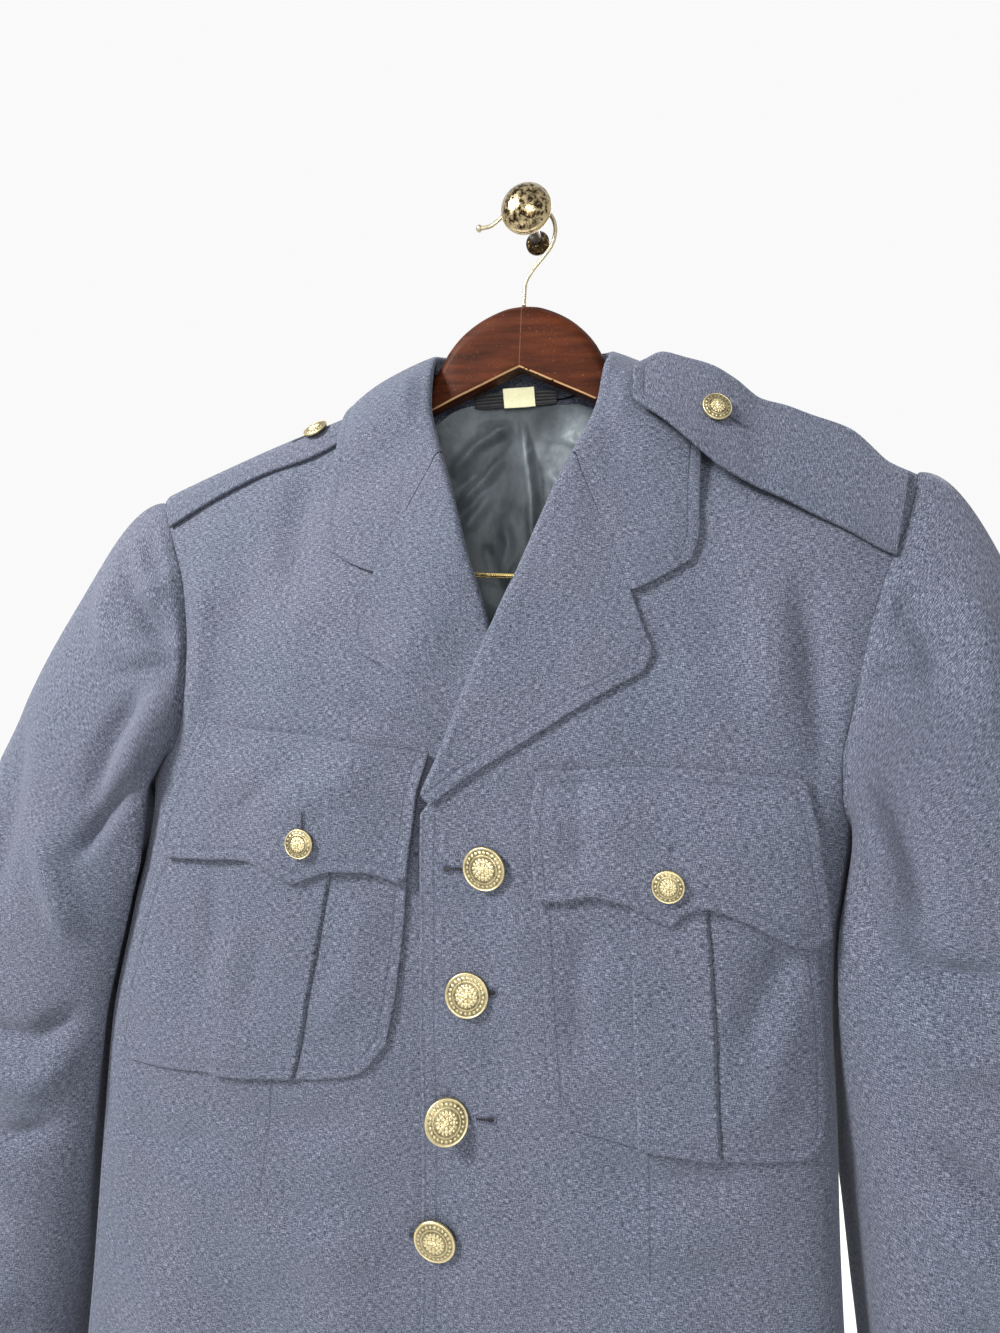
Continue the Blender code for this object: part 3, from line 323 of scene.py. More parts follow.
def spaced(count: int, length: float, rims: tuple[bool, bool] = (True, True)) -> Grid:
    """Shares along a piece, with close ones at its rims so that they turn round.

    Args:
        count: How many even steps there are.
        length: The piece's length that way in millimetres.
        rims: Whether the start and the end are rims.

    Returns:
        Shares from 0 to 1.
    """
    shares = set(np.linspace(0, 1, count + 1))
    for near in (0.35, 1.0):
        if rims[0]:
            shares.add(near / length)
        if rims[1]:
            shares.add(1 - near / length)
    return np.array(sorted(shares))


def between(rows: Grid, at: Grid) -> Grid:
    """Finds rows at places between those of a grid, smooth along each column.

    Args:
        rows: The grid, rows by columns by three.
        at: Places counted in rows.

    Returns:
        A row for each place.
    """
    index = np.arange(len(rows))
    made = np.zeros((len(at), rows.shape[1], 3))
    for j in range(rows.shape[1]):
        for axis in range(3):
            made[:, j, axis] = look_up(list(zip(index, rows[:, j, axis])), at)
    return made


def to_row(points: Any) -> Grid:
    """Garment millimetres to metres in the shared frame."""
    return (np.asarray(points, float) + np.array([0.0, HANGER_Y, LEVEL_Z])) / 1000.0


def unit(vectors: Any) -> Grid:
    """The same directions with a length of 1."""
    vectors = np.asarray(vectors, float)
    return vectors / np.maximum(np.linalg.norm(vectors, axis=-1, keepdims=True), 1e-9)


@dataclass(frozen=True)
class Crease:
    """A soft trough or ridge along a bent line, across the jacket and up it."""

    line: tuple[tuple[float, float], ...]
    width: float
    height: float
    skew: float = 0.0

    def rise(self, x: Grid, z: Grid) -> Grid:
        """Works out how far the crease moves the cloth out.

        Args:
            x: Places across the jacket.
            z: Heights.

        Returns:
            Millimetres out, negative in a trough.
        """
        points = np.array(self.line, float)
        reach = np.diff(points, axis=0)
        length = np.linalg.norm(reach, axis=1)
        start = np.concatenate([[0.0], np.cumsum(length)])
        best = np.full(np.shape(x), 1e9)
        share = np.zeros(np.shape(x))
        hand = np.zeros(np.shape(x))
        for (ax, az), (dx, dz), size, run in zip(points[:-1], reach, length, start):
            t = np.clip(((x - ax) * dx + (z - az) * dz) / size**2, 0, 1)
            gx, gz = x - ax - t * dx, z - az - t * dz
            gap = np.hypot(gx, gz)
            closer = gap < best
            best = np.where(closer, gap, best)
            share = np.where(closer, (run + t * size) / start[-1], share)
            hand = np.where(closer, np.sign(dx * gz - dz * gx), hand)
        across = best / self.width
        lean = 1.0 + self.skew * hand * np.minimum(across, 1.5)
        fade = ease(share, -0.02, 0.3), ease(1 - share, -0.02, 0.3)
        return self.height * np.exp(-(across**2)) * lean * fade[0] * fade[1]


def creases(*rows: tuple[float, ...]) -> tuple[Crease, ...]:
    """Creases from rows of a width, a height and a skew, then the line's points across and up."""
    return tuple(Crease(tuple(zip(row[3::2], row[4::2])), row[0], row[1], row[2]) for row in rows)


# Creases of the fronts as the photograph shows them, then ones like them below its edge
FRONT_CREASES = creases(
    (13, -2.4, 0.4, -125, 96, -127, 52, -124, 8), (16, 1.3, 0, -104, 30, -112, -10, -108, -46),
    (8, 1.9, -0.4, -196, 34, -180, 8, -174, -40, -178, -84), (15, -1.4, 0, -160, 52, -152, 10, -156, -34),
    (9, -1.3, 0.3, -95, -72, -120, -92, -142, -116), (10, 1.2, 0, -62, -74, -84, -92, -112, -108),
    (9, -1.5, 0, -150, -128, -148, -176, -158, -220), (10, 1.0, 0, -60, -142, -66, -190, -84, -232),
    (9, -0.8, 0, -112, -160, -124, -200, -128, -236), (7, -1.2, 0, -78, -43, -56, -54, -34, -62),
    (9, -2.6, 0.5, 150, 40, 158, 4, 162, -28, 171, -76), (12, 1.6, 0, 136, 30, 142, -6, 140, -52),
    (10, -1.1, 0, 76, -4, 96, -10, 124, -8), (15, 1.2, 0, 95, 12, 110, -30, 128, -58),
    (7, 1.5, 0, 172, -10, 173, -45, 176, -96, 180, -140), (11, -2.2, 0.3, 156, -140, 145, -166, 128, -206),
    (9, 1.2, 0, 160, -176, 150, -206, 146, -240), (9, -1.5, 0, 56, -140, 54, -186, 60, -222),
    (8, -1.4, 0, 48, -62, 53, -106, 50, -128), (10, 0.9, 0, 12, -100, 22, -150, 20, -214),
    (9, -0.9, 0, 2, -202, 14, -226, 30, -240), (9, -1.6, 0.4, 60, -262, 96, -272, 150, -268),
    (11, 1.5, 0, 40, -286, 92, -300, 148, -294), (10, -1.4, 0, -50, -262, -92, -276, -160, -272),
    (9, -1.5, 0.4, -140, -288, -176, -300, -208, -296), (12, 1.3, 0, -30, -330, -78, -342, -132, -334),
    (22, 3.2, 0, 100, -330, 90, -420, 96, -520, 92, -620), (18, -2.0, 0, 46, -350, 40, -450, 46, -620),
    (17, -2.4, 0, 150, -340, 146, -460, 154, -620), (22, 2.8, 0, -62, -360, -58, -470, -66, -620),
    (17, -2.2, 0, -118, -350, -112, -450, -122, -620), (19, 2.2, 0, -180, -340, -172, -480, -184, -620),
)
# Creases of the back
BACK_CREASES = creases(
    (9, -2.2, 0.3, -60, 108, 0, 102, 60, 110), (13, 1.7, 0, -84, 84, -10, 76, 70, 88),
    (12, -3.0, 0.4, -172, 20, -150, -40, -158, -110), (15, 2.2, 0, -140, 40, -122, -30, -130, -120),
    (12, -2.8, -0.4, 150, 30, 132, -40, 142, -120), (15, 2.2, 0, 118, 36, 104, -40, 116, -140),
    (12, -2.2, 0.3, -40, -120, -90, -160, -150, -174), (12, -2.4, -0.3, 30, -150, 90, -186, 146, -196),
    (14, 1.9, 0, -30, -200, -96, -226, -170, -230), (13, 1.8, 0, 24, -232, 88, -250, 150, -246),
    (24, 3.4, 0, -70, -270, -64, -420, -76, -620), (18, -2.6, 0, -130, -300, -124, -430, -134, -620),
    (22, 3.0, 0, 60, -290, 66, -440, 58, -620), (18, -2.6, 0, 118, -280, 124, -430, 114, -620),
    (16, -1.6, 0, 10, -330, 18, -460, 14, -620),
)
# Creases of the sleeves, in front and behind: across the jacket and up it
SLEEVE_FRONT = {
    -1: creases(
        (5.5, -3.2, 0.3, -236, 46, -222, 30, -212, 26, -199, 30),
        (7, 2.8, 0, -242, 34, -226, 12, -214, 8, -200, 10),
        (6, -5.0, -0.4, -246, 40, -228, 12, -212, -6, -200, -15, -186, -15),
        (8, 3.2, 0, -258, 20, -238, -18, -214, -28, -190, -26),
        (2.6, -1.8, 0.3, -236, -39, -212, -36, -198, -33, -184, -32),
        (9, 4.2, 0, -192, -42, -204, -72, -220, -112), (7, -4.0, 0, -208, -42, -226, -80, -234, -122),
        (5, -4.4, 0.4, -240, -150, -226, -126, -212, -106, -196, -100),
        (9, 3.4, 0, -262, -120, -250, -160, -236, -196), (12, -3.0, 0, -300, -60, -288, -120, -296, -190),
        (7, -3.6, 0.4, -232, -232, -262, -252, -306, -250), (9, 3.0, 0, -228, -256, -262, -280, -318, -276),
        (7, -3.2, 0.4, -240, -300, -276, -312, -330, -300),
        (9, -3.0, 0, -340, -330, -312, -360, -268, -366), (10, 2.6, 0, -260, -400, -296, -424, -350, -420),
        (8, -2.2, 0, -268, -470, -300, -480, -352, -470),
    ),
    1: creases(
        (4, -2.0, 0.3, 182, -20, 200, -16, 226, -22), (8, -3.0, 0, 196, 30, 212, 8, 224, -24),
        (11, 3.0, 0, 226, 40, 238, 4, 240, -50), (7, 2.8, 0, 178, -60, 190, -84, 198, -130),
        (7, -3.4, 0.3, 190, -66, 206, -96, 214, -140), (6, -3.2, 0.4, 196, -132, 218, -150, 252, -150),
        (9, 2.8, 0, 200, -166, 226, -186, 270, -180), (7, -3.6, 0.4, 212, -226, 246, -250, 296, -246),
        (9, 3.0, 0, 214, -256, 250, -280, 300, -276), (7, -3.0, 0, 226, -306, 262, -318, 306, -304),
        (9, 2.6, 0, 232, -380, 270, -398, 320, -386), (8, -2.4, 0, 240, -440, 280, -452, 330, -440),
    ),
}
SLEEVE_BACK = {
    -1: creases(
        (9, -3.6, 0, -214, 20, -232, -10, -236, -60), (11, 3.0, 0, -232, 26, -254, -20, -260, -80),
        (8, -3.4, 0.4, -226, -110, -250, -130, -290, -126),
        (9, -4.0, 0.4, -236, -206, -270, -232, -330, -226),
        (10, 3.4, 0, -238, -250, -280, -270, -340, -262), (8, -3.2, 0, -250, -304, -290, -322, -346, -312),
        (10, 2.8, 0, -262, -392, -300, -410, -350, -400),
    ),
    1: creases(
        (9, -3.4, 0, 200, 26, 216, -14, 220, -66), (11, 3.0, 0, 220, 30, 236, -16, 244, -80),
        (8, -3.4, 0.4, 206, -116, 236, -136, 272, -130), (9, -4.0, 0.4, 212, -214, 252, -238, 306, -230),
        (10, 3.2, 0, 216, -258, 256, -276, 314, -268), (8, -3.0, 0, 228, -312, 266, -330, 322, -320),
        (10, 2.6, 0, 240, -400, 276, -416, 328, -404),
    ),
}
# Wrinkles of the lining, positive towards the viewer: they run out from the pleat and the neck
LINING_CREASES = creases(
    (2.6, 3.8, 0.6, -4, 134, 2, 100, 5, 78, 9, 20), (3.2, -2.4, 0, 3, 132, 9, 98, 12, 70, 15, 20),
    (3.2, 4.2, 0.4, -48, 92, -30, 112, -6, 126), (3.4, -2.6, 0, -46, 80, -28, 98, -8, 118),
    (3.4, 4.0, -0.4, -44, 70, -26, 90, -12, 110), (3.6, 2.6, 0, -40, 54, -28, 70, -18, 86),
    (2.4, 2.0, 0, -34, 120, -20, 124, -6, 122), (3.0, 2.8, 0, 24, 118, 34, 112, 46, 116),
    (3.4, -2.6, 0, 12, 110, 26, 108, 40, 98), (3.6, 3.8, 0.4, 14, 96, 28, 82, 38, 64),
    (3.0, -3.0, 0, 20, 78, 26, 64, 32, 48), (2.6, 3.4, 0.5, 16, 62, 22, 46, 28, 34),
    (3.4, 2.4, 0, -14, 70, -8, 52, -12, 26), (3.0, -2.4, 0, -24, 52, -18, 36, -10, 18),
    (2.6, 2.8, 0.4, -2, 44, -6, 26, -2, 6), (6, 2.0, 0, -30, 20, -10, 10, 20, 14),
    (9, 3.0, 0, 60, 90, 90, 50, 96, 0), (9, 3.0, 0, -64, 80, -92, 46, -96, -10),
    (9, 2.6, 0, -40, -20, -30, -60, -36, -110), (9, 2.6, 0, 30, -14, 40, -60, 36, -110),
)


class Paint:
    """A material's node tree, built up in short calls."""

    def __init__(self, name: str, roughness: float, metallic: float = 0.0) -> None:
        """Starts a material.

        Args:
            name: The material's name.
            roughness: The shader's own roughness.
            metallic: 1 for bare metal.
        """
        self.material = bpy.data.materials.new(name)
        self.material.use_nodes = True
        self.tree = self.material.node_tree
        self.shader = self.tree.nodes["Principled BSDF"]
        self.set(Roughness=roughness, Metallic=metallic)

    def set(self, **values: Any) -> None:
        """Sets sockets of the shader; an underscore stands for a space."""
        for key, value in values.items():
            self.shader.inputs[key.replace("_", " ")].default_value = value

    def feed(self, socket: str, source: Socket) -> None:
        """Links a result to one of the shader's sockets."""
        self.tree.links.new(source, self.shader.inputs[socket])

    def node(self, kind: str, inputs: dict[Any, Any] | None = None, **settings: Any) -> bpy.types.Node:
        """Adds a node.

        Args:
            kind: The node's type.
            inputs: Values or links for its sockets, by name or number.
            **settings: The node's own properties.

        Returns:
            The new node.
        """
        made = self.tree.nodes.new(kind)
        for key, value in settings.items():
            setattr(made, key, value)
        for key, value in (inputs or {}).items():
            if isinstance(value, bpy.types.NodeSocket):
                self.tree.links.new(value, made.inputs[key])
            else:
                made.inputs[key].default_value = value
        return made

    def math(self, operation: str, a: Any, b: Any = 0.0) -> Socket:
        """One step of arithmetic."""
        return self.node("ShaderNodeMath", {0: a, 1: b}, operation=operation).outputs[0]

    def weave(self, across: float, up: float, shift: float = 0.0) -> Socket:
        """The cloth's own millimetres, scaled across and along the grain, and shifted.

        Args:
            across: The scale across the grain.
            up: The scale along it.
            shift: How far it is moved.

        Returns:
            The place in the weave.
        """
        uv = self.node("ShaderNodeUVMap", uv_map="weave").outputs[0]
        inputs = {0: uv, 1: (across, up, 1.0), 2: (shift, shift * 0.7, shift)}
        return self.node("ShaderNodeVectorMath", inputs, operation="MULTIPLY_ADD").outputs[0]

    def place(self, scale: tuple[float, float, float]) -> Socket:
        """The piece's own place in the shared frame, scaled."""
        here = self.node("ShaderNodeTexCoord").outputs["Object"]
        return self.node("ShaderNodeVectorMath", {0: here, 1: scale}, operation="MULTIPLY").outputs[0]

    def noise(self, where: Socket, scale: float = 1.0, detail: float = 2.0, rough: float = 0.5) -> Socket:
        """Cloudy noise from 0 to 1."""
        inputs = {"Vector": where, "Scale": scale, "Detail": detail, "Roughness": rough}
        return self.node("ShaderNodeTexNoise", inputs).outputs["Fac"]

    def ramp(self, factor: Socket, stops: Sequence[tuple[float, tuple[float, ...]]]) -> Socket:
        """Colours along a factor.

        Args:
            factor: What is looked up.
            stops: Where each colour stands, and the colour.

        Returns:
            The colour.
        """
        made = self.node("ShaderNodeValToRGB", {0: factor})
        line = made.color_ramp.elements
        while len(line) < len(stops):
            line.new(0.5)
        for element, (at, colour) in zip(line, stops):
            element.position = at
            element.color = (*colour, 1.0)
        return made.outputs[0]

    def mix(self, factor: Any, a: Any, b: Any, blend: str = "MIX") -> Socket:
        """Mixes two colours."""
        made = self.node("ShaderNodeMix", {0: factor, 6: a, 7: b}, data_type="RGBA", blend_type=blend)
        return made.outputs[2]

    def attribute(self, name: str) -> Socket:
        """A number stored on the piece's points."""
        return self.node("ShaderNodeAttribute", attribute_name=name).outputs["Fac"]

    def bump(self, height: Socket, distance: float, strength: float = 1.0) -> None:
        """Feeds a relief in metres to the shader's normal."""
        inputs = {"Height": height, "Distance": distance, "Strength": strength}
        self.feed("Normal", self.node("ShaderNodeBump", inputs).outputs[0])


@dataclass(frozen=True)
class Worsted:
    """The jacket's heathered plain-weave wool."""

    name: str = "wool_worsted"
    dark: tuple[float, float, float] = (0.0062, 0.0086, 0.0152)
    middle: tuple[float, float, float] = (0.0375, 0.0445, 0.0640)
    light: tuple[float, float, float] = (0.142, 0.152, 0.193)
    # How strongly the colour is darkened along sewn grooves: painted shade
    seam_dark: float = 0.45

    def material(self) -> bpy.types.Material:
        """Makes the finish with its threads, heather, sewn grooves with painted shade along them, and nap.

        Returns:
            The material.
        """
        paint = Paint(self.name, 0.86)
        warp = paint.noise(paint.weave(2.7, 0.44), detail=2.0)
        weft = paint.noise(paint.weave(0.34, 2.7, 31.0), detail=2.0)
        grain = paint.noise(paint.weave(2.3, 2.3, 7.0), detail=2.0)
        threads = paint.math("ADD", paint.math("MULTIPLY", warp, 0.30), paint.math("MULTIPLY", weft, 0.38))
        heather = paint.math("ADD", threads, paint.math("MULTIPLY", grain, 0.32))
        colour = paint.ramp(heather, ((0.405, self.dark), (0.5, self.middle), (0.605, self.light)))
        cloud = paint.noise(paint.weave(0.016, 0.013, 3.0), detail=3.0)
        shade = paint.ramp(cloud, ((0.3, (0.94, 0.98, 0.99)), (0.7, (1.06, 1.01, 1.03))))
        colour = paint.mix(1.0, colour, shade, "MULTIPLY")
        # Painted shade: within 0.9 mm of a sewn groove the colour darkens towards a near-black blue, besides
        # the bump's dent
        groove = paint.math("ABSOLUTE", paint.attribute("groove"))
        groove = paint.math("SUBTRACT", 1.0, paint.math("MINIMUM", paint.math("DIVIDE", groove, 0.9), 1.0))
        painted_groove_shade = paint.math("MULTIPLY", groove, self.seam_dark)
        colour = paint.mix(painted_groove_shade, colour, (0.014, 0.017, 0.029, 1.0))
        paint.feed("Base Color", colour)
        waves: list[Socket] = []
        for axis in (0, 1):
            part = paint.node("ShaderNodeSeparateXYZ", {0: paint.weave(6.98, 6.98)}).outputs[axis]
            waves.append(paint.math("SINE", part))
        cross = paint.math("MULTIPLY", paint.math("MULTIPLY", waves[0], waves[1]), 0.12)
        height = paint.math("ADD", heather, cross)
        paint.bump(paint.math("SUBTRACT", height, paint.math("MULTIPLY", groove, 0.9)), 0.0006, 0.55)
        paint.set(Specular_IOR_Level=0.28, Sheen_Weight=0.12, Sheen_Roughness=0.4)
        paint.set(Sheen_Tint=(0.75, 0.8, 0.95, 1.0))
        return paint.material


@dataclass(frozen=True)
class Satin:
    """The lining's dark slate satin."""

    name: str = "lining_satin_weave"
    dark: tuple[float, float, float] = (0.038, 0.047, 0.053)
    light: tuple[float, float, float] = (0.102, 0.122, 0.134)

    def material(self) -> bpy.types.Material:
        """Makes the finish with a soft gloss and fine threads.

        Returns:
            The material.
        """
        paint = Paint(self.name, 0.5)
        cloud = paint.noise(paint.weave(0.05, 0.03), detail=4.0)
        paint.feed("Base Color", paint.ramp(cloud, ((0.34, self.dark), (0.7, self.light))))
        thread = paint.noise(paint.weave(0.5, 5.0), detail=1.0)
        pucker = paint.noise(paint.weave(0.16, 0.11, 5.0), detail=3.0)
        paint.bump(paint.math("ADD", paint.math("MULTIPLY", thread, 0.06), pucker), 0.0016, 0.6)
        paint.set(Specular_IOR_Level=0.2, Sheen_Weight=0.1, Anisotropic=0.4)
        return paint.material


@dataclass(frozen=True)
class Ribbon:
    """A plain woven tape, label or thread."""

    name: str
    dark: tuple[float, float, float]
    light: tuple[float, float, float]
    roughness: float = 0.75
    grain: float = 2.2

    def material(self) -> bpy.types.Material:
        """Makes the finish with a fine rib and slight wear.

        Returns:
            The material.
        """
        paint = Paint(self.name, self.roughness)
        rib = paint.noise(paint.weave(self.grain, 0.6), detail=2.0)
        soil = paint.noise(paint.weave(0.12, 0.12, 4.0), detail=3.0)
        colour = paint.ramp(paint.math("MULTIPLY", paint.math("ADD", rib, soil), 0.5),
                            ((0.36, self.dark), (0.62, self.light)))
        paint.feed("Base Color", colour)
        paint.bump(rib, 0.0003, 0.6)
        return paint.material


@dataclass(frozen=True)
class Brass:
    """Cast or turned brass with a patina in its hollows."""

    name: str
    hollow: tuple[float, float, float]
    bright: tuple[float, float, float]
    roughness: tuple[float, float]
    blotch: float
    spread: float = 500.0
    stops: tuple[float, float, float] = (0.14, 0.42, 0.72)

    def material(self) -> bpy.types.Material:
        """Makes the finish from the relief stored on the points and a mottled patina.

        Returns:
            The material.
        """
        paint = Paint(self.name, self.roughness[0], 1.0)
        where = paint.place((self.spread,) * 3)
        mottle = paint.noise(where, 1.0, 4.0, 0.6)
        fine = paint.noise(where, 5.0, 2.0)
        relief = paint.attribute("relief")
        worn = paint.math("ADD", paint.math("MULTIPLY", relief, 1.0 - self.blotch),
                          paint.math("MULTIPLY", mottle, self.blotch * 1.2))
        middle = tuple((a + 2 * b) / 3 for a, b in zip(self.hollow, self.bright))
        colours = (self.hollow, middle, self.bright)
        paint.feed("Base Color", paint.ramp(worn, list(zip(self.stops, colours))))
        low, high = self.roughness
        rough = paint.node("ShaderNodeMapRange", {0: mottle, 1: 0.3, 2: 0.7, 3: low, 4: high})
        paint.feed("Roughness", rough.outputs[0])
        paint.bump(fine, 0.00012, 0.5)
        return paint.material


@dataclass(frozen=True)
class Lacquer:
    """The hanger's dark red lacquered wood."""

    name: str = "wood_lacquer"
    dark: tuple[float, float, float] = (0.014, 0.0034, 0.0012)
    light: tuple[float, float, float] = (0.048, 0.0115, 0.004)
    # Colour of the joint's lighter line and of the painted highlight along the lower front arris
    worn: tuple[float, float, float] = (0.50, 0.30, 0.15)

    def material(self) -> bpy.types.Material:
        """Makes the finish with grain, dust specks, the joint's line and a painted highlight along the lower
        front edge.

        Returns:
            The material.
        """
        paint = Paint(self.name, 0.5)
        grain = paint.noise(paint.place((26.0, 160.0, 190.0)), 1.0, 4.0, 0.6)
        colour = paint.ramp(grain, ((0.3, self.dark), (0.68, self.light)))
        specks = paint.noise(paint.place((900.0, 900.0, 900.0)), 1.0, 2.0)
        speck = paint.ramp(specks, ((0.66, (0.0, 0.0, 0.0)), (0.76, (1.0, 1.0, 1.0))))
        colour = paint.mix(paint.math("MULTIPLY", speck, 0.3), colour, (0.22, 0.10, 0.05, 1.0))
        across = paint.node("ShaderNodeSeparateXYZ", {0: paint.place((1000.0,) * 3)}).outputs[0]
        joint = paint.math("SUBTRACT", 1.0, paint.math("MINIMUM", paint.math("ABSOLUTE", across), 1.0))
        joint = paint.math("GREATER_THAN", joint, 0.78)
        patchy_noise = paint.noise(paint.place((220.0, 220.0, 220.0)), 1.0, 3.0)
        joint = paint.math("MULTIPLY", joint, paint.math("GREATER_THAN", patchy_noise, 0.44))
        colour = paint.mix(paint.math("MULTIPLY", joint, 0.09), colour, (*self.worn, 1.0))
        # Painted highlight: a lighter line along the lower front arris, where the wood catches the light,
        # broken up by noise
        wear = paint.math("MULTIPLY", paint.attribute("wear"), paint.math("GREATER_THAN", patchy_noise, 0.36))
        colour = paint.mix(wear, colour, (*self.worn, 1.0))
        paint.feed("Base Color", colour)
        paint.bump(paint.math("ADD", grain, paint.math("MULTIPLY", speck, 0.6)), 0.0002, 0.5)
        paint.set(Specular_IOR_Level=0.05)
        return paint.material


class Finishes:
    """Every material of the jacket and its holder."""

    def __init__(self) -> None:
        """Makes each one once."""
        self.wool = Worsted().material()
        self.satin = Satin().material()
        self.tape = Ribbon("loop_ribbed_tape", (0.004, 0.004, 0.005), (0.02, 0.02, 0.023), 0.6).material()
        self.label = Ribbon("label_bare_cloth", (0.74, 0.71, 0.42), (0.88, 0.86, 0.60), 0.85).material()
        self.thread = Ribbon("wool_topstitch", (0.030, 0.037, 0.060), (0.085, 0.100, 0.155), 0.7).material()
        self.hole = Ribbon("buttonhole_silk", (0.010, 0.012, 0.024), (0.035, 0.042, 0.075), 0.6).material()
        # Near-black painted shade for the inside of the buttonhole slits
        self.slit = Ribbon("buttonhole_slit", (0.002, 0.002, 0.003), (0.006, 0.006, 0.008), 0.9).material()
        dark, worn, rough = (0.018, 0.014, 0.007), (0.48, 0.41, 0.235), (0.30, 0.48)
        self.button = Brass("button_antique_brass", dark, worn, rough, 0.3).material()
        dark, worn, rough = (0.030, 0.019, 0.008), (0.50, 0.40, 0.23), (0.12, 0.3)
        self.knob = Brass("knob_patina_brass", dark, worn, rough, 0.85, 380.0, (0.46, 0.60, 0.78)).material()
        dark, worn, rough = (0.45, 0.31, 0.11), (0.86, 0.66, 0.28), (0.18, 0.3)
        self.bar = Brass("bar_polished_brass", dark, worn, rough, 0.7).material()
        dark, worn, rough = (0.12, 0.10, 0.06), (0.42, 0.37, 0.26), (0.22, 0.36)
        self.wire = Brass("hook_plated_wire", dark, worn, rough, 0.6).material()
        self.wood = Lacquer().material()


def put_mesh(name: str, points: Any, faces: Sequence[Sequence[int]], material: bpy.types.Material,
             stored: dict[str, Grid] | None = None, weave: Grid | None = None) -> bpy.types.Object:
    """Makes a smooth mesh piece that rides on the body.

    Args:
        name: The piece's name.
        points: Garment millimetres.
        faces: Corners of each face.
        material: Its finish.
        stored: Numbers for the shader, one for each point.
        weave: Millimetres across and along the grain, one pair for each point.

    Returns:
        The piece.
    """
    mesh = bpy.data.meshes.new(name)
    mesh.from_pydata(to_row(points).tolist(), [], [tuple(face) for face in faces])
    mesh.shade_smooth()
    for key, values in (stored or {}).items():
        layer = mesh.attributes.new(key, "FLOAT", "POINT")
        layer.data.foreach_set("value", np.asarray(values, float).ravel())
    if weave is None:
        spots = np.asarray(points, float)
        weave = np.stack([spots[:, 0], spots[:, 2] + 0.7 * spots[:, 1]], axis=-1)
    corners = np.empty(len(mesh.loops), dtype=np.int64)
    mesh.loops.foreach_get("vertex_index", corners)
    mesh.uv_layers.new(name="weave").data.foreach_set("uv", np.asarray(weave, float)[corners].ravel())
    mesh.materials.append(material)
    thing = bpy.data.objects.new(name, mesh)
    bpy.context.scene.collection.objects.link(thing)
    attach(thing, "root")
    return thing


def stand_in(name: str, points: Any, faces: Sequence[Sequence[int]], material: bpy.types.Material, node: str,
             stored: dict[str, Grid]) -> None:
    """Makes a hard piece in place of its plain solid.

    Args:
        name: The piece's name.
        points: Garment millimetres.
        faces: Corners of each face.
        material: Its finish.
        node: The solid it stands for.
        stored: Numbers for the shader, one for each point.
    """
    thing = put_mesh(name, points, faces, material, stored)
    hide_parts(node)
    LOG.info("%s: %d faces", name, len(faces))


def grid_faces(rows: int, cols: int, closed: bool = False, start: int = 0) -> list[tuple[int, ...]]:
    """Faces over a grid of points.

    Args:
        rows: Rows of points.
        cols: Points in a row.
        closed: Whether each row closes on itself.
        start: Number of the first point.

    Returns:
        Four corners for each face.
    """
    faces = []
    for i in range(rows - 1):
        for j in range(cols if closed else cols - 1):
            a, b, n = start + i * cols, start + (i + 1) * cols, (j + 1) % cols
            faces.append((a + j, b + j, b + n, a + n))
    return faces


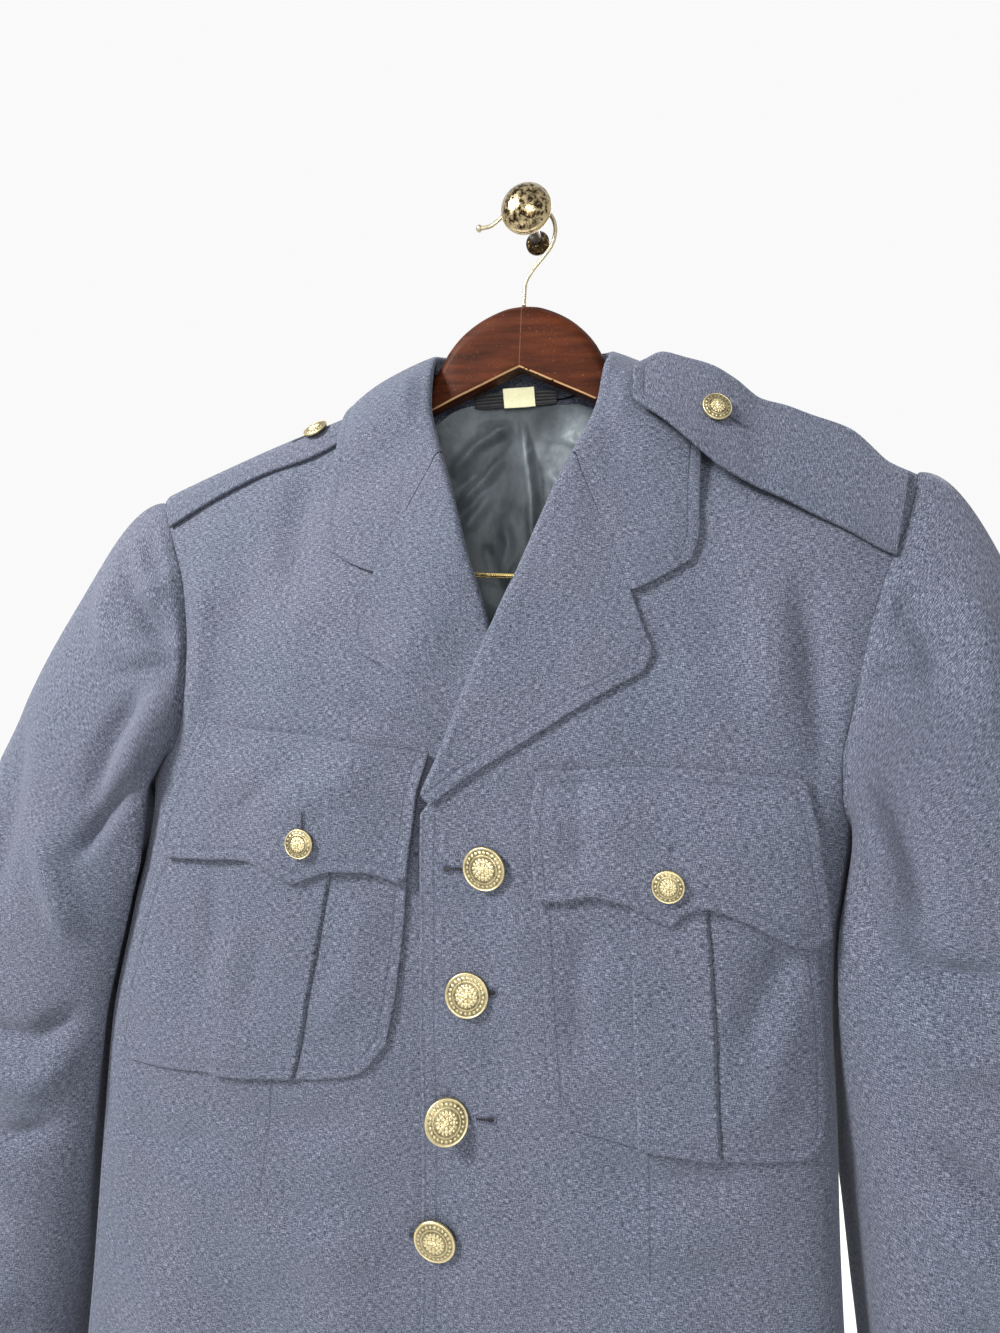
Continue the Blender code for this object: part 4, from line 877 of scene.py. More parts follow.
@dataclass
class ClothSheet:
    """A cut piece of cloth: a grid of points through its middle, and what is sewn along its edges."""

    name: str
    grid: Grid
    thick: float
    toward: Any
    weave: Grid | None = None
    across: Grid | None = None
    edges: tuple[str, ...] = ()
    inset: float = 6.0
    groove: Grid | None = None
    keep: Callable[[Grid], Grid] | None = None
    rims: tuple[bool, bool, bool, bool] = (True, True, True, True)
    normal: Grid = field(init=False)
    outer: Grid = field(init=False)
    inner: Grid = field(init=False)

    def __post_init__(self) -> None:
        """Finds the outward direction, the sewn line and the outer surface."""
        across = np.gradient(self.grid, axis=1) if self.across is None else self.across
        self.normal = unit(np.cross(np.gradient(self.grid, axis=0), across))
        if float(np.sum(self.normal * np.asarray(self.toward))) < 0:
            self.normal = -self.normal
        if self.groove is None:
            self.groove = np.full(self.grid.shape[:2], NO_GROOVE)
        if self.edges:
            self.groove = self.from_edges() - self.inset
        rim = self.rim_gap()
        roll = 0.5 + 0.5 * np.sqrt(np.clip(1 - (1 - np.minimum(rim / 1.1, 1.0)) ** 2, 0, 1))
        swell = np.zeros(rim.shape)
        if self.edges:
            from_edge = self.groove + self.inset
            swell = 0.15 * np.exp(-(((from_edge - 2.8) / 2.0) ** 2))
            swell = swell - 0.2 * np.exp(-((self.groove / 1.2) ** 2))
        self.outer = self.grid + self.normal * (self.thick / 2 * roll + swell)[..., None]
        self.inner = self.grid - self.normal * (self.thick / 2 * roll)[..., None]
        if self.keep is not None:
            self.outer, self.inner = self.keep(self.outer), self.keep(self.inner)

    def rim_gap(self) -> Grid:
        """Finds how far each point is from the piece's own rim, along the grid.

        Returns:
            The distances.
        """
        gaps = []
        for axis in (0, 1):
            step = np.linalg.norm(np.diff(self.grid, axis=axis), axis=-1)
            zero = np.zeros_like(np.take(step, [0], axis=axis))
            run = np.concatenate([zero, np.cumsum(step, axis=axis)], axis=axis)
            gaps += [run, np.take(run, [-1], axis=axis) - run]
        return np.min(np.stack([gap for gap, rolled in zip(gaps, self.rims) if rolled]), axis=0)

    def from_edges(self) -> Grid:
        """Finds how far each point is from the piece's sewn edges.

        Returns:
            The distances.
        """
        lines = {"start": self.grid[0], "end": self.grid[-1],
                 "first": self.grid[:, 0], "last": self.grid[:, -1]}
        best = np.full(self.grid.shape[:2], 1e9)
        for word in self.edges:
            line = lines[word]
            for a, b in zip(line[:-1], line[1:]):
                way = b - a
                size = float(np.dot(way, way))
                if size < 1e-9:
                    continue
                t = np.clip(((self.grid - a) @ way) / size, 0, 1)
                best = np.minimum(best, np.linalg.norm(self.grid - a - t[..., None] * way, axis=-1))
        return best

    def flat_size(self) -> tuple[float, float, float]:
        """Measures the flat cut.

        Returns:
            Its width, length and area in metres.
        """
        wide = np.linalg.norm(np.diff(self.grid, axis=1), axis=-1).sum(axis=1).max() / 1000
        long = np.linalg.norm(np.diff(self.grid, axis=0), axis=-1).sum(axis=0).max() / 1000
        a = np.cross(self.grid[1:, :-1] - self.grid[:-1, :-1], self.grid[:-1, 1:] - self.grid[:-1, :-1])
        b = np.cross(self.grid[1:, :-1] - self.grid[1:, 1:], self.grid[:-1, 1:] - self.grid[1:, 1:])
        area = (np.linalg.norm(a, axis=-1).sum() + np.linalg.norm(b, axis=-1).sum()) / 2 / 1e6
        return float(wide), float(long), float(min(max(area, 0.301 * wide * long), wide * long))

    def build(self, material: bpy.types.Material, slot: str, rests_on: Sequence[str],
              with_pieces: Sequence[bpy.types.Object] = ()) -> bpy.types.Object:
        """Makes the piece, in place of its plain solid.

        Args:
            material: Its finish.
            slot: The record's material slot; not used.
            rests_on: What it lies on or hangs from; not used.
            with_pieces: Separate pieces sewn on it; not used.

        Returns:
            The piece.
        """
        rows, cols = self.grid.shape[:2]
        size = rows * cols
        faces = grid_faces(rows, cols)
        faces += [tuple(size + k for k in reversed(face)) for face in grid_faces(rows, cols)]
        rim = [i * cols for i in range(rows)] + [(rows - 1) * cols + j for j in range(1, cols)]
        rim += [i * cols + cols - 1 for i in range(rows - 2, -1, -1)] + list(range(cols - 2, 0, -1))
        for a, b in zip(rim, rim[1:] + rim[:1]):
            faces.append((b, a, size + a, size + b))
        way = np.cross(self.outer[1, 0] - self.outer[0, 0], self.outer[0, 1] - self.outer[0, 0])
        if float(np.dot(way, self.normal[0, 0])) < 0:
            faces = [tuple(reversed(face)) for face in faces]
        weave = self.weave
        if weave is None:
            u = np.linalg.norm(np.diff(self.grid, axis=1), axis=-1)
            v = np.linalg.norm(np.diff(self.grid, axis=0), axis=-1).mean(axis=1)
            u = np.concatenate([np.zeros((rows, 1)), np.cumsum(u, axis=1)], axis=1)
            v = np.concatenate([[0.0], np.cumsum(v)])
            weave = np.stack([u, np.broadcast_to(v[:, None], (rows, cols))], axis=-1)
        points = np.concatenate([self.outer.reshape(-1, 3), self.inner.reshape(-1, 3)])
        groove = np.concatenate([self.groove.ravel(), np.full(size, NO_GROOVE)])
        pairs = np.concatenate([weave.reshape(-1, 2)] * 2)
        thing = put_mesh(self.name + "_cloth", points, faces, material, {"groove": groove}, pairs)
        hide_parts(self.name)
        wide, long, area = self.flat_size()
        LOG.info("%s: %d faces, cut %.0f x %.0f mm, %.4f m2",
                 thing.name, len(faces), wide * 1e3, long * 1e3, area)
        return thing

    def sewn_lines(self) -> list[tuple[Grid, Grid]]:
        """Finds the lines over the outer surface where the topstitching runs.

        Returns:
            Points and outward directions along each line.
        """
        level, rows, cols = self.groove, *self.groove.shape
        spots: dict[tuple[int, int, int], tuple[Grid, Grid]] = {}
        links: dict[tuple[int, int, int], list[tuple[int, int, int]]] = {}
        low = np.minimum.reduce([level[:-1, :-1], level[1:, :-1], level[:-1, 1:], level[1:, 1:]])
        high = np.maximum.reduce([level[:-1, :-1], level[1:, :-1], level[:-1, 1:], level[1:, 1:]])
        for i, j in zip(*np.nonzero((low < 0) & (high >= 0))):
            i, j = int(i), int(j)
            found = []
            sides = (((i, j), (i, j + 1), (i, j, 0)), ((i, j + 1), (i + 1, j + 1), (i, j + 1, 1)),
                     ((i + 1, j), (i + 1, j + 1), (i + 1, j, 0)), ((i, j), (i + 1, j), (i, j, 1)))
            for a, b, key in sides:
                if (level[a] < 0) != (level[b] < 0):
                    t = level[a] / (level[a] - level[b])
                    point = self.outer[a] * (1 - t) + self.outer[b] * t
                    spots[key] = (point, self.normal[a] * (1 - t) + self.normal[b] * t)
                    found.append(key)
            for a, b in zip(found[::2], found[1::2]):
                links.setdefault(a, []).append(b)
                links.setdefault(b, []).append(a)
        lines = []
        while links:
            ends = [key for key, near in links.items() if len(near) == 1]
            here = ends[0] if ends else next(iter(links))
            chain = [here]
            while links.get(here):
                there = links[here].pop()
                links[there].remove(here)
                if not links[here]:
                    del links[here]
                here = there
                chain.append(here)
            links.pop(here, None)
            if len(chain) > 6:
                lines.append((np.array([spots[k][0] for k in chain]), np.array([spots[k][1] for k in chain])))
        return lines


@dataclass(frozen=True)
class Topstitch:
    """A row of sewn stitches: their spacing, length and thread radius in millimetres."""

    pitch: float = 2.9
    length: float = 2.1
    radius: float = 0.2
    sink: float = 0.06

    def bead(self, centre: Grid, ahead: Grid, up: Grid, length: float, radius: float) -> tuple[Grid, Grid]:
        """Points and corners of one stitch.

        Args:
            centre: Its middle.
            ahead: Which way it runs.
            up: Away from the cloth.
            length: Its length.
            radius: The thread's radius.

        Returns:
            Its points and its faces.
        """
        over = unit(np.cross(ahead, up))
        points = [centre - ahead * length / 2]
        for share, size in ((-0.34, 0.8), (0.0, 1.0), (0.34, 0.8)):
            for k in range(5):
                angle = 2 * math.pi * k / 5
                spoke = over * math.cos(angle) + up * math.sin(angle) * 0.75
                points.append(centre + ahead * length * share + spoke * radius * size)
        points.append(centre + ahead * length / 2)
        faces = []
        for k in range(5):
            n = (k + 1) % 5
            faces.append((0, 1 + n, 1 + k))
            faces += [(1 + k, 1 + n, 6 + n, 6 + k), (6 + k, 6 + n, 11 + n, 11 + k), (11 + k, 11 + n, 16)]
        return np.array(points), faces

    def sew(self, name: str, lines: Sequence[tuple[Grid, Grid]], material: bpy.types.Material) -> bpy.types.Object | None:
        """Makes all the stitches along some lines as one mesh.

        Args:
            name: The piece's name.
            lines: Points and outward directions along each line.
            material: The thread's finish.

        Returns:
            The piece, or nothing where no line is long enough.
        """
        points, faces, count = [], [], 0
        for line, ups in lines:
            run = np.concatenate([[0.0], np.cumsum(np.linalg.norm(np.diff(line, axis=0), axis=1))])
            if run[-1] < 2 * self.pitch:
                continue
            at = np.arange(self.pitch, run[-1] - self.pitch / 2, self.pitch)
            for place in at:
                middle, before, after = (np.array([np.interp(place + d, run, line[:, i]) for i in range(3)])
                                         for d in (0.0, -0.8, 0.8))
                up = unit(np.array([np.interp(place, run, ups[:, i]) for i in range(3)]))
                ahead = unit(after - before)
                bead, corners = self.bead(middle - up * self.sink, ahead, up, self.length, self.radius)
                faces += [tuple(count + k for k in face) for face in corners]
                points.append(bead)
                count += len(bead)
        if not points:
            return None
        thing = put_mesh(name, np.concatenate(points), faces, material)
        LOG.info("%s: %d stitches", name, len(points))
        return thing


@dataclass(frozen=True)
class Buttonhole:
    """A worked buttonhole: a slit with its edges purled in silk."""

    name: str
    start: tuple[float, float, float]
    end: tuple[float, float, float]
    up: tuple[float, float, float]
    eyelet: bool = True
    half: float = 0.42
    purl: float = 0.36
    around: int = 56
    eyelet_half: tuple[float, float] = (1.7, 1.25)

    def outline(self, length: float) -> list[tuple[float, float]]:
        """Finds the slit's outline, with its round eyelet at the start.

        Args:
            length: The slit's length.

        Returns:
            Places along the slit and across it.
        """
        long, tall = self.eyelet_half
        made = []
        for k in range(self.around):
            angle = 2 * math.pi * k / self.around
            run, sine = math.cos(angle) * length / 2, math.sin(angle)
            wide = self.half * math.copysign(abs(sine) ** 0.5, sine) if abs(sine) > 1e-6 else 0.0
            if self.eyelet and run < -length / 2 + 2 * long:
                near = (run + length / 2 - long) / long
                wide = math.copysign(max(abs(wide), tall * math.sqrt(max(0.0, 1 - near * near))), wide)
            made.append((run, wide))
        return made

    def build(self, finishes: Finishes) -> list[bpy.types.Object]:
        """Makes the slit, a near-black disc of painted shade, and its purled edge.

        Args:
            finishes: The jacket's materials.

        Returns:
            The two pieces.
        """
        start, end, up = (np.array(v, float) for v in (self.start, self.end, self.up))
        up = unit(up)
        ahead = unit(end - start)
        over = unit(np.cross(ahead, up))
        centre = (start + end) / 2
        outline = self.outline(float(np.linalg.norm(end - start)))
        # The slit is a thin near-black disc just over the cloth: painted shade
        slit = [centre + up * 0.1] + [centre + ahead * run + over * wide + up * 0.1 for run, wide in outline]
        slit += [centre - up * 0.5] + [centre + ahead * run + over * wide - up * 0.5 for run, wide in outline]
        faces, below = [], self.around + 1
        for k in range(self.around):
            a, b = 1 + k, 1 + (k + 1) % self.around
            faces += [(0, b, a), (below, below + a, below + b), (a, b, below + b, below + a)]
        hole = put_mesh(self.name + "_slit", np.array(slit), faces, finishes.slit)
        beads, corners, count = [], [], 0
        purl = Topstitch(radius=self.purl)
        for k, (run, wide) in enumerate(outline):
            before, after = np.array(outline[k - 1]), np.array(outline[(k + 1) % self.around])
            tangent = unit(after - before)
            out = np.array([tangent[1], -tangent[0]])
            if np.dot(out, (run, wide)) < 0 and abs(wide) > 1e-6 and out[1] * wide < 0:
                out = -out
            spot = np.array([run, wide]) + out * 2.1 * self.purl
            place = centre + ahead * spot[0] + over * spot[1] + up * 0.12
            way = unit(ahead * out[0] + over * out[1])
            bead, sides = purl.bead(place, way, up, 4.7 * self.purl, self.purl)
            corners += [tuple(count + c for c in face) for face in sides]
            beads.append(bead)
            count += len(bead)
        if not self.eyelet:
            bead, sides = purl.bead(end + ahead * 0.3 + up * 0.15, over, up, 3.6, 0.3)
            corners += [tuple(count + c for c in face) for face in sides]
            beads.append(bead)
        edge = put_mesh(self.name + "_purl", np.concatenate(beads), corners, finishes.hole)
        return [hole, edge]


@dataclass(frozen=True)
class Trunk:
    """The jacket's trunk as a surface that every panel and everything on it is made from."""

    front_strength: float = 1.9
    back_strength: float = 1.0
    tuck_depth: tuple[float, float] = (3.4, 4.3)
    step: float = 0.5
    armpit_rise: float = 25.0

    def half(self, z: Any, side: Side) -> Grid:
        """Half width at a height."""
        return look_up(BODY, z, 1 if side is Side.LEFT else 2)

    def ridge(self, x: Any, side: Side) -> Grid:
        """Height of the shoulder ridge over a place."""
        x = np.abs(x)
        return look_up(RIDGE, x) + (RIGHT_LIFT * ease(x, 80, 160) if side is Side.RIGHT else 0.0)

    def tuck(self, x: Any, z: Any) -> Grid:
        """Works out how far the left front goes in under the right one.

        Args:
            x: Places across the jacket.
            z: Heights.

        Returns:
            Millimetres in.
        """
        deep = self.tuck_depth[0] + self.tuck_depth[1] * ease(z, -128, -96)
        line = look_up(EDGE, z, 2) - 4.0
        return deep * ease(x - line, -42, 0) * (1.0 - ease(z, 10, 60))

    def folds(self, x: Grid, z: Grid, side: Side, face: Face) -> Grid:
        """Works out how far creases and the cloth's slight unevenness stand out.

        Args:
            x: Places across the jacket.
            z: Heights.
            side: Which side they are on.
            face: Front or back.

        Returns:
            Millimetres out.
        """
        rise = np.zeros(np.broadcast(x, z).shape)
        for crease in FRONT_CREASES if face is Face.FRONT else BACK_CREASES:
            rise = rise + crease.rise(x, z)
        rise = rise + 0.45 * np.sin(x / 19.0 + z / 31.0 + 0.8) * np.sin(z / 23.0 - x / 47.0)
        rise = rise + 0.30 * np.sin(x / 9.5 - z / 17.0 + 2.1) * np.sin(z / 12.0 + x / 29.0 + 0.5)
        half = self.half(z, side)
        calm = 1.0 - ease(np.abs(x) / half, 0.84, 0.95)
        if face is Face.BACK:
            calm = calm * ease(np.abs(x), 0.0, 8.0)
        high = self.ridge(x, side) - z
        strength = self.front_strength if face is Face.FRONT else self.back_strength
        return strength * rise * calm * ease(high, 4.0, 40.0)

    def depth(self, x: Any, z: Any, side: Side, face: Face, creased: bool = True) -> Grid:
        """Works out the depth of the trunk's cloth.

        Args:
            x: Places across the jacket.
            z: Heights.
            side: Which side they are on.
            face: Front or back.
            creased: Whether creases are counted.

        Returns:
            The depth, negative in front.
        """
        half = self.half(z, side)
        front = face is Face.FRONT
        deep = look_up(BODY, z, 3 if front else 4)
        out = np.clip(np.abs(x) / half, 0.0, 0.9995)
        across = (1.0 - out**OUTLINE_POWER) ** (1.0 / OUTLINE_POWER)
        reach = FRONT_REACH if front else BACK_REACH
        share = np.clip((self.ridge(x, side) - z) / reach, 0.0, 1.0)
        down = (1.0 - (1.0 - share) ** SHOULDER_POWER) ** (1.0 / SHOULDER_POWER)
        y = face.value * deep * across * down
        if front and side is Side.LEFT:
            y = y + self.tuck(x, z)
        if creased:
            y = y + face.value * self.folds(np.asarray(x, float), np.asarray(z, float), side, face)
        return y

    def point(self, x: Any, z: Any, side: Side, face: Face = Face.FRONT, lift: Any = 0.0,
              creased: bool = True) -> Grid:
        """Finds points of the trunk's cloth moved out along its normal.

        Args:
            x: Places across the jacket.
            z: Heights.
            side: Which side they are on.
            face: Front or back.
            lift: How far out.
            creased: Whether creases are counted.

        Returns:
            The points.
        """
        x, z = np.broadcast_arrays(np.asarray(x, float), np.asarray(z, float))
        step = self.step
        y, right, left, above, below = (
            self.depth(x + over, z + up, side, face, creased)
            for over, up in ((0, 0), (step, 0), (-step, 0), (0, step), (0, -step)))
        dx, dz = (right - left) / (2 * step), (above - below) / (2 * step)
        normal = unit(np.stack([dx, -np.ones_like(dx), dz], axis=-1)) * -face.value
        return np.stack([x, y, z], axis=-1) + normal * np.asarray(lift, float)[..., None]

    def shoulder_z(self, x: float, y: float, side: Side, lift: float) -> float:
        """Finds the height of the cloth over a place near the ridge.

        Args:
            x: Place across the jacket.
            y: Depth.
            side: Which side it is on.
            lift: How far above the cloth.

        Returns:
            The height.
        """
        out = min(abs(x) / float(self.half(60, side)), 0.99)
        across = (1.0 - out**OUTLINE_POWER) ** (1.0 / OUTLINE_POWER)
        deep, reach = (BODY[0][3], FRONT_REACH) if y < 0 else (BODY[0][4], BACK_REACH)
        share = min(abs(y) / (deep * across), 1.0) ** SHOULDER_POWER
        return float(self.ridge(x, side)) - reach * (1.0 - (1.0 - share) ** (1.0 / SHOULDER_POWER)) + lift

    def armhole(self, side: Side) -> Grid:
        """Finds the armhole, from the shoulder's tip forward and down, then up behind.

        Args:
            side: Which side it is on.

        Returns:
            A closed line.
        """
        s = side.value
        line = [np.array([s * ARMHOLE[s][0][0], 0.0, ARMHOLE[s][0][1]])]
        line += [self.point(s * x, z, side) for x, z in ARMHOLE[s][1:]]
        line += list(self.side_grid(side, np.array([-1, -0.62, -0.2, 0.2, 0.62, 1.0]), np.array([1.0]))[-1])
        line += [self.point(s * x, z, side, Face.BACK) for x, z in ARMHOLE[s][:0:-1]]
        return np.array(line + [line[0]])

    def side_grid(self, side: Side, cols: Grid, tops: Grid, levels: Sequence[float] = ()) -> Grid:
        """Finds points of the narrow panel under the arm.

        Args:
            side: Which side it is on.
            cols: Shares across it, -1 at the front seam and 1 at the back one.
            tops: Shares from the last level up to its curved top.
            levels: Heights of its level rows.

        Returns:
            Rows from the hem up.
        """
        seam_sine = math.sqrt(1.0 - SIDE_SEAM**4)
        curve = ARMPIT_Z - self.armpit_rise * (1.0 - cols**2)
        rows = []
        for level in list(levels) + list(tops):
            top = PANEL_TOP_Z + level * (curve - PANEL_TOP_Z)
            if level < -1.5:
                top = np.full(len(cols), float(level))
            half = self.half(top, side)
            deep = np.where(cols < 0, look_up(BODY, top, 3), look_up(BODY, top, 4))
            share = (self.ridge(half * SIDE_SEAM, side) - top) / FRONT_REACH
            full = (1.0 - (1.0 - np.clip(share, 0, 1)) ** SHOULDER_POWER) ** (1.0 / SHOULDER_POWER)
            sine = cols**2 * seam_sine
            x = half * (1.0 - sine**2) ** 0.25
            y = np.sign(cols) * deep * np.sqrt(sine) * np.where(cols < 0, full, 1.0)
            rim = (np.abs(cols) == 1) * SEAM
            rows.append(np.stack([side.value * (x + rim * 0.5), y - rim * np.sign(cols), top], axis=-1))
        return np.stack(rows)


@dataclass
class Bodice:
    """The fronts, backs and side panels."""

    trunk: Trunk
    finishes: Finishes
    thick: float = 1.8
    front_neck: float = 150.0
    neck_half: float = 57.0
    seam_keep: tuple[float, float] = (0.1, 0.06)
    front_rows: tuple[float, float] = (2.2, 8.2)
    hidden_step: tuple[float, float] = (3.1, 0.5)

    def panel(self, side: Side, face: Face) -> Grid:
        """Finds the middle of a front or a back half.

        Args:
            side: Which side it is on.
            face: Front or back.

        Returns:
            Rows from the hem to the shoulder, columns from the middle to the side.
        """
        s, front = side.value, face is Face.FRONT
        hole = [(s * x, z) for x, z in ARMHOLE[s]]
        hole.append((s * float(self.trunk.half(ARMPIT_Z, side)) * SIDE_SEAM, ARMPIT_Z))
        hole = hole[::-1]
        tip, neck_z = hole[-1], self.front_neck if front else BACK_NECK_Z
        close = {d / 200.0 for d in (2.2, 3.7, 5.2, 6.7, 8.2, 9.7)} if front else set()
        cols = np.array(sorted(set(spaced(58, 230)) | close))
        rows = []
        column = 1 if side is Side.LEFT else 2
        for z in HEM_Z + (LEVEL_TOP_Z - HEM_Z) * spaced(104, 520, (True, False)):
            inner = look_up(INNER, z, column) if front else s * SEAM / 2
            outer = s * SIDE_SEAM * self.trunk.half(z, side) - s * SEAM
            rows.append((inner + (outer - inner) * cols, np.full(len(cols), float(z))))
        for q in spaced(54, 243, (False, True)):
            z_in = ARMPIT_Z + (neck_z - ARMPIT_Z) * q
            x_out, z_out = along(hole, q)
            inner = look_up(INNER, z_in, column) if front else s * SEAM / 2
            x = inner + (x_out - s * SEAM - inner) * cols
            start = s * self.neck_half if front else 0.0
            straight = neck_z + (tip[1] - neck_z) * (x - start) / (tip[0] - start)
            top = self.trunk.ridge(x, side)
            near = straight if front else look_up(BACK_NECK, np.abs(x))
            top = np.where(np.abs(x) < self.neck_half, near, top)
            rows.append((x, z_in + (z_out - z_in) * cols + q**2 * (top - straight)))
        grid = self.trunk.point(np.array([r[0] for r in rows]), np.array([r[1] for r in rows]), side, face)
        grid[..., 1] = np.minimum(grid[..., 1], -SEAM) if front else np.maximum(grid[..., 1], SEAM)
        return grid

    def keeper(self, side: Side, face: Face) -> Callable[[Grid], Grid]:
        """Makes the function that keeps a panel on its own side of the shoulder and centre seams.

        Args:
            side: Which side the panel is on.
            face: Front or back.

        Returns:
            A function that moves points.
        """
        shoulder, centre = self.seam_keep

        def keep(points: Grid) -> Grid:
            """Moves points back over the seams.

            Args:
                points: Points of the panel's surface.

            Returns:
                The moved points.
            """
            points = points.copy()
            if face is Face.FRONT:
                points[..., 1] = np.minimum(points[..., 1], -shoulder)
            else:
                points[..., 1] = np.maximum(points[..., 1], shoulder)
                points[..., 0] = side.value * np.maximum(side.value * points[..., 0], centre)
            return points

        return keep

    def dart(self, grid: Grid, line: Sequence[tuple[float, float]]) -> Grid:
        """Finds the signed distance from a sewn dart, for the shader's groove.

        Args:
            grid: The panel's points.
            line: The dart's two ends, across and up.

        Returns:
            The distances.
        """
        x, z = grid[..., 0], grid[..., 2]
        (ax, az), (bx, bz) = line[0], line[-1]
        size = math.hypot(bx - ax, bz - az)
        off = ((bx - ax) * (z - az) - (bz - az) * (x - ax)) / size
        run = ((bx - ax) * (x - ax) + (bz - az) * (z - az)) / size
        taper = off + np.sign(off) * np.maximum(run - size + 6, 0) * 0.2
        return np.where((run < -3) | (run > size + 3), NO_GROOVE, taper)

    def front_or_back(self, side: Side, face: Face) -> None:
        """Makes a front or a back half.

        Args:
            side: Which side it is on.
            face: Front or back.
        """
        grid = self.panel(side, face)
        name = ("front_" if face is Face.FRONT else "back_") + side.word
        groove, sewn = None, []
        # Groove distances of the dart and of the right front's two stitch rows; the shader dents the cloth
        # along them and darkens its colour there as painted shade
        if face is Face.FRONT:
            groove = self.dart(grid, DARTS[side.value])
        if face is Face.FRONT and side is Side.RIGHT:
            inner = grid[..., 0] - look_up(INNER, grid[..., 2], 2)
            first, second = self.front_rows
            beside = np.where(inner < (first + second) / 2, inner - first, second - inner)
            groove = np.where((inner < 14) & (grid[..., 2] < -96), beside, groove)
        sheet = ClothSheet(name, grid, self.thick, (0, face.value, 0), weave=grid[..., [0, 2]],
                           keep=self.keeper(side, face), groove=groove)
        if face is Face.FRONT and side is Side.RIGHT:
            sewn = self.front_edge(side)
        sheet.build(self.finishes.wool, "wool_cloth", ["hanger_wood"], sewn)

    def side_panel(self, side: Side) -> None:
        """Makes the panel under an arm, its edges tucked in under the front and the back.

        Args:
            side: Which side it is on.
        """
        levels = HEM_Z + (PANEL_TOP_Z - HEM_Z) * spaced(96, 480, (True, False))
        cols = 2.0 * spaced(16, 55) - 1.0
        grid = self.trunk.side_grid(side, cols, spaced(8, 30, (False, True))[1:], levels)
        over, back = self.hidden_step
        before, after = (np.array([(-side.value * over * k, -back * k, 0.0) for k in steps])
                         for steps in ((1.0, 0.5), (0.5, 1.0)))
        grid = np.concatenate([grid[:, :1] + before, grid, grid[:, -1:] + after], axis=1)
        width = np.linalg.norm(np.diff(grid, axis=1), axis=-1)
        run = np.cumsum(np.concatenate([np.zeros((len(grid), 1)), width], axis=1), axis=1)
        weave = np.stack([run, grid[..., 2]], axis=-1)
        sheet = ClothSheet("side_" + side.word, grid, self.thick, (side.value, 0, 0), weave=weave)
        sheet.build(self.finishes.wool, "wool_cloth", ["front_" + side.word, "back_" + side.word])

    def build(self) -> None:
        """Makes every panel."""
        for side in Side:
            for face in Face:
                self.front_or_back(side, face)
            self.side_panel(side)

    def front_edge(self, side: Side) -> list[bpy.types.Object]:
        """Makes the two rows of stitches down the front edge.

        Args:
            side: The front that lies outside.

        Returns:
            The stitches.
        """
        made = []
        z = np.linspace(-103, HEM_Z + 4, 150)
        for number, inset in enumerate(self.front_rows):
            x, lift = look_up(INNER, z, 2) + inset, self.thick / 2
            low, high = (self.trunk.point(x, z, side, lift=lift + more) for more in (0, 1))
            made.append(Topstitch().sew(f"front_edge_stitches_{number}", [(low, high - low)],
                                        self.finishes.thread))
        return made


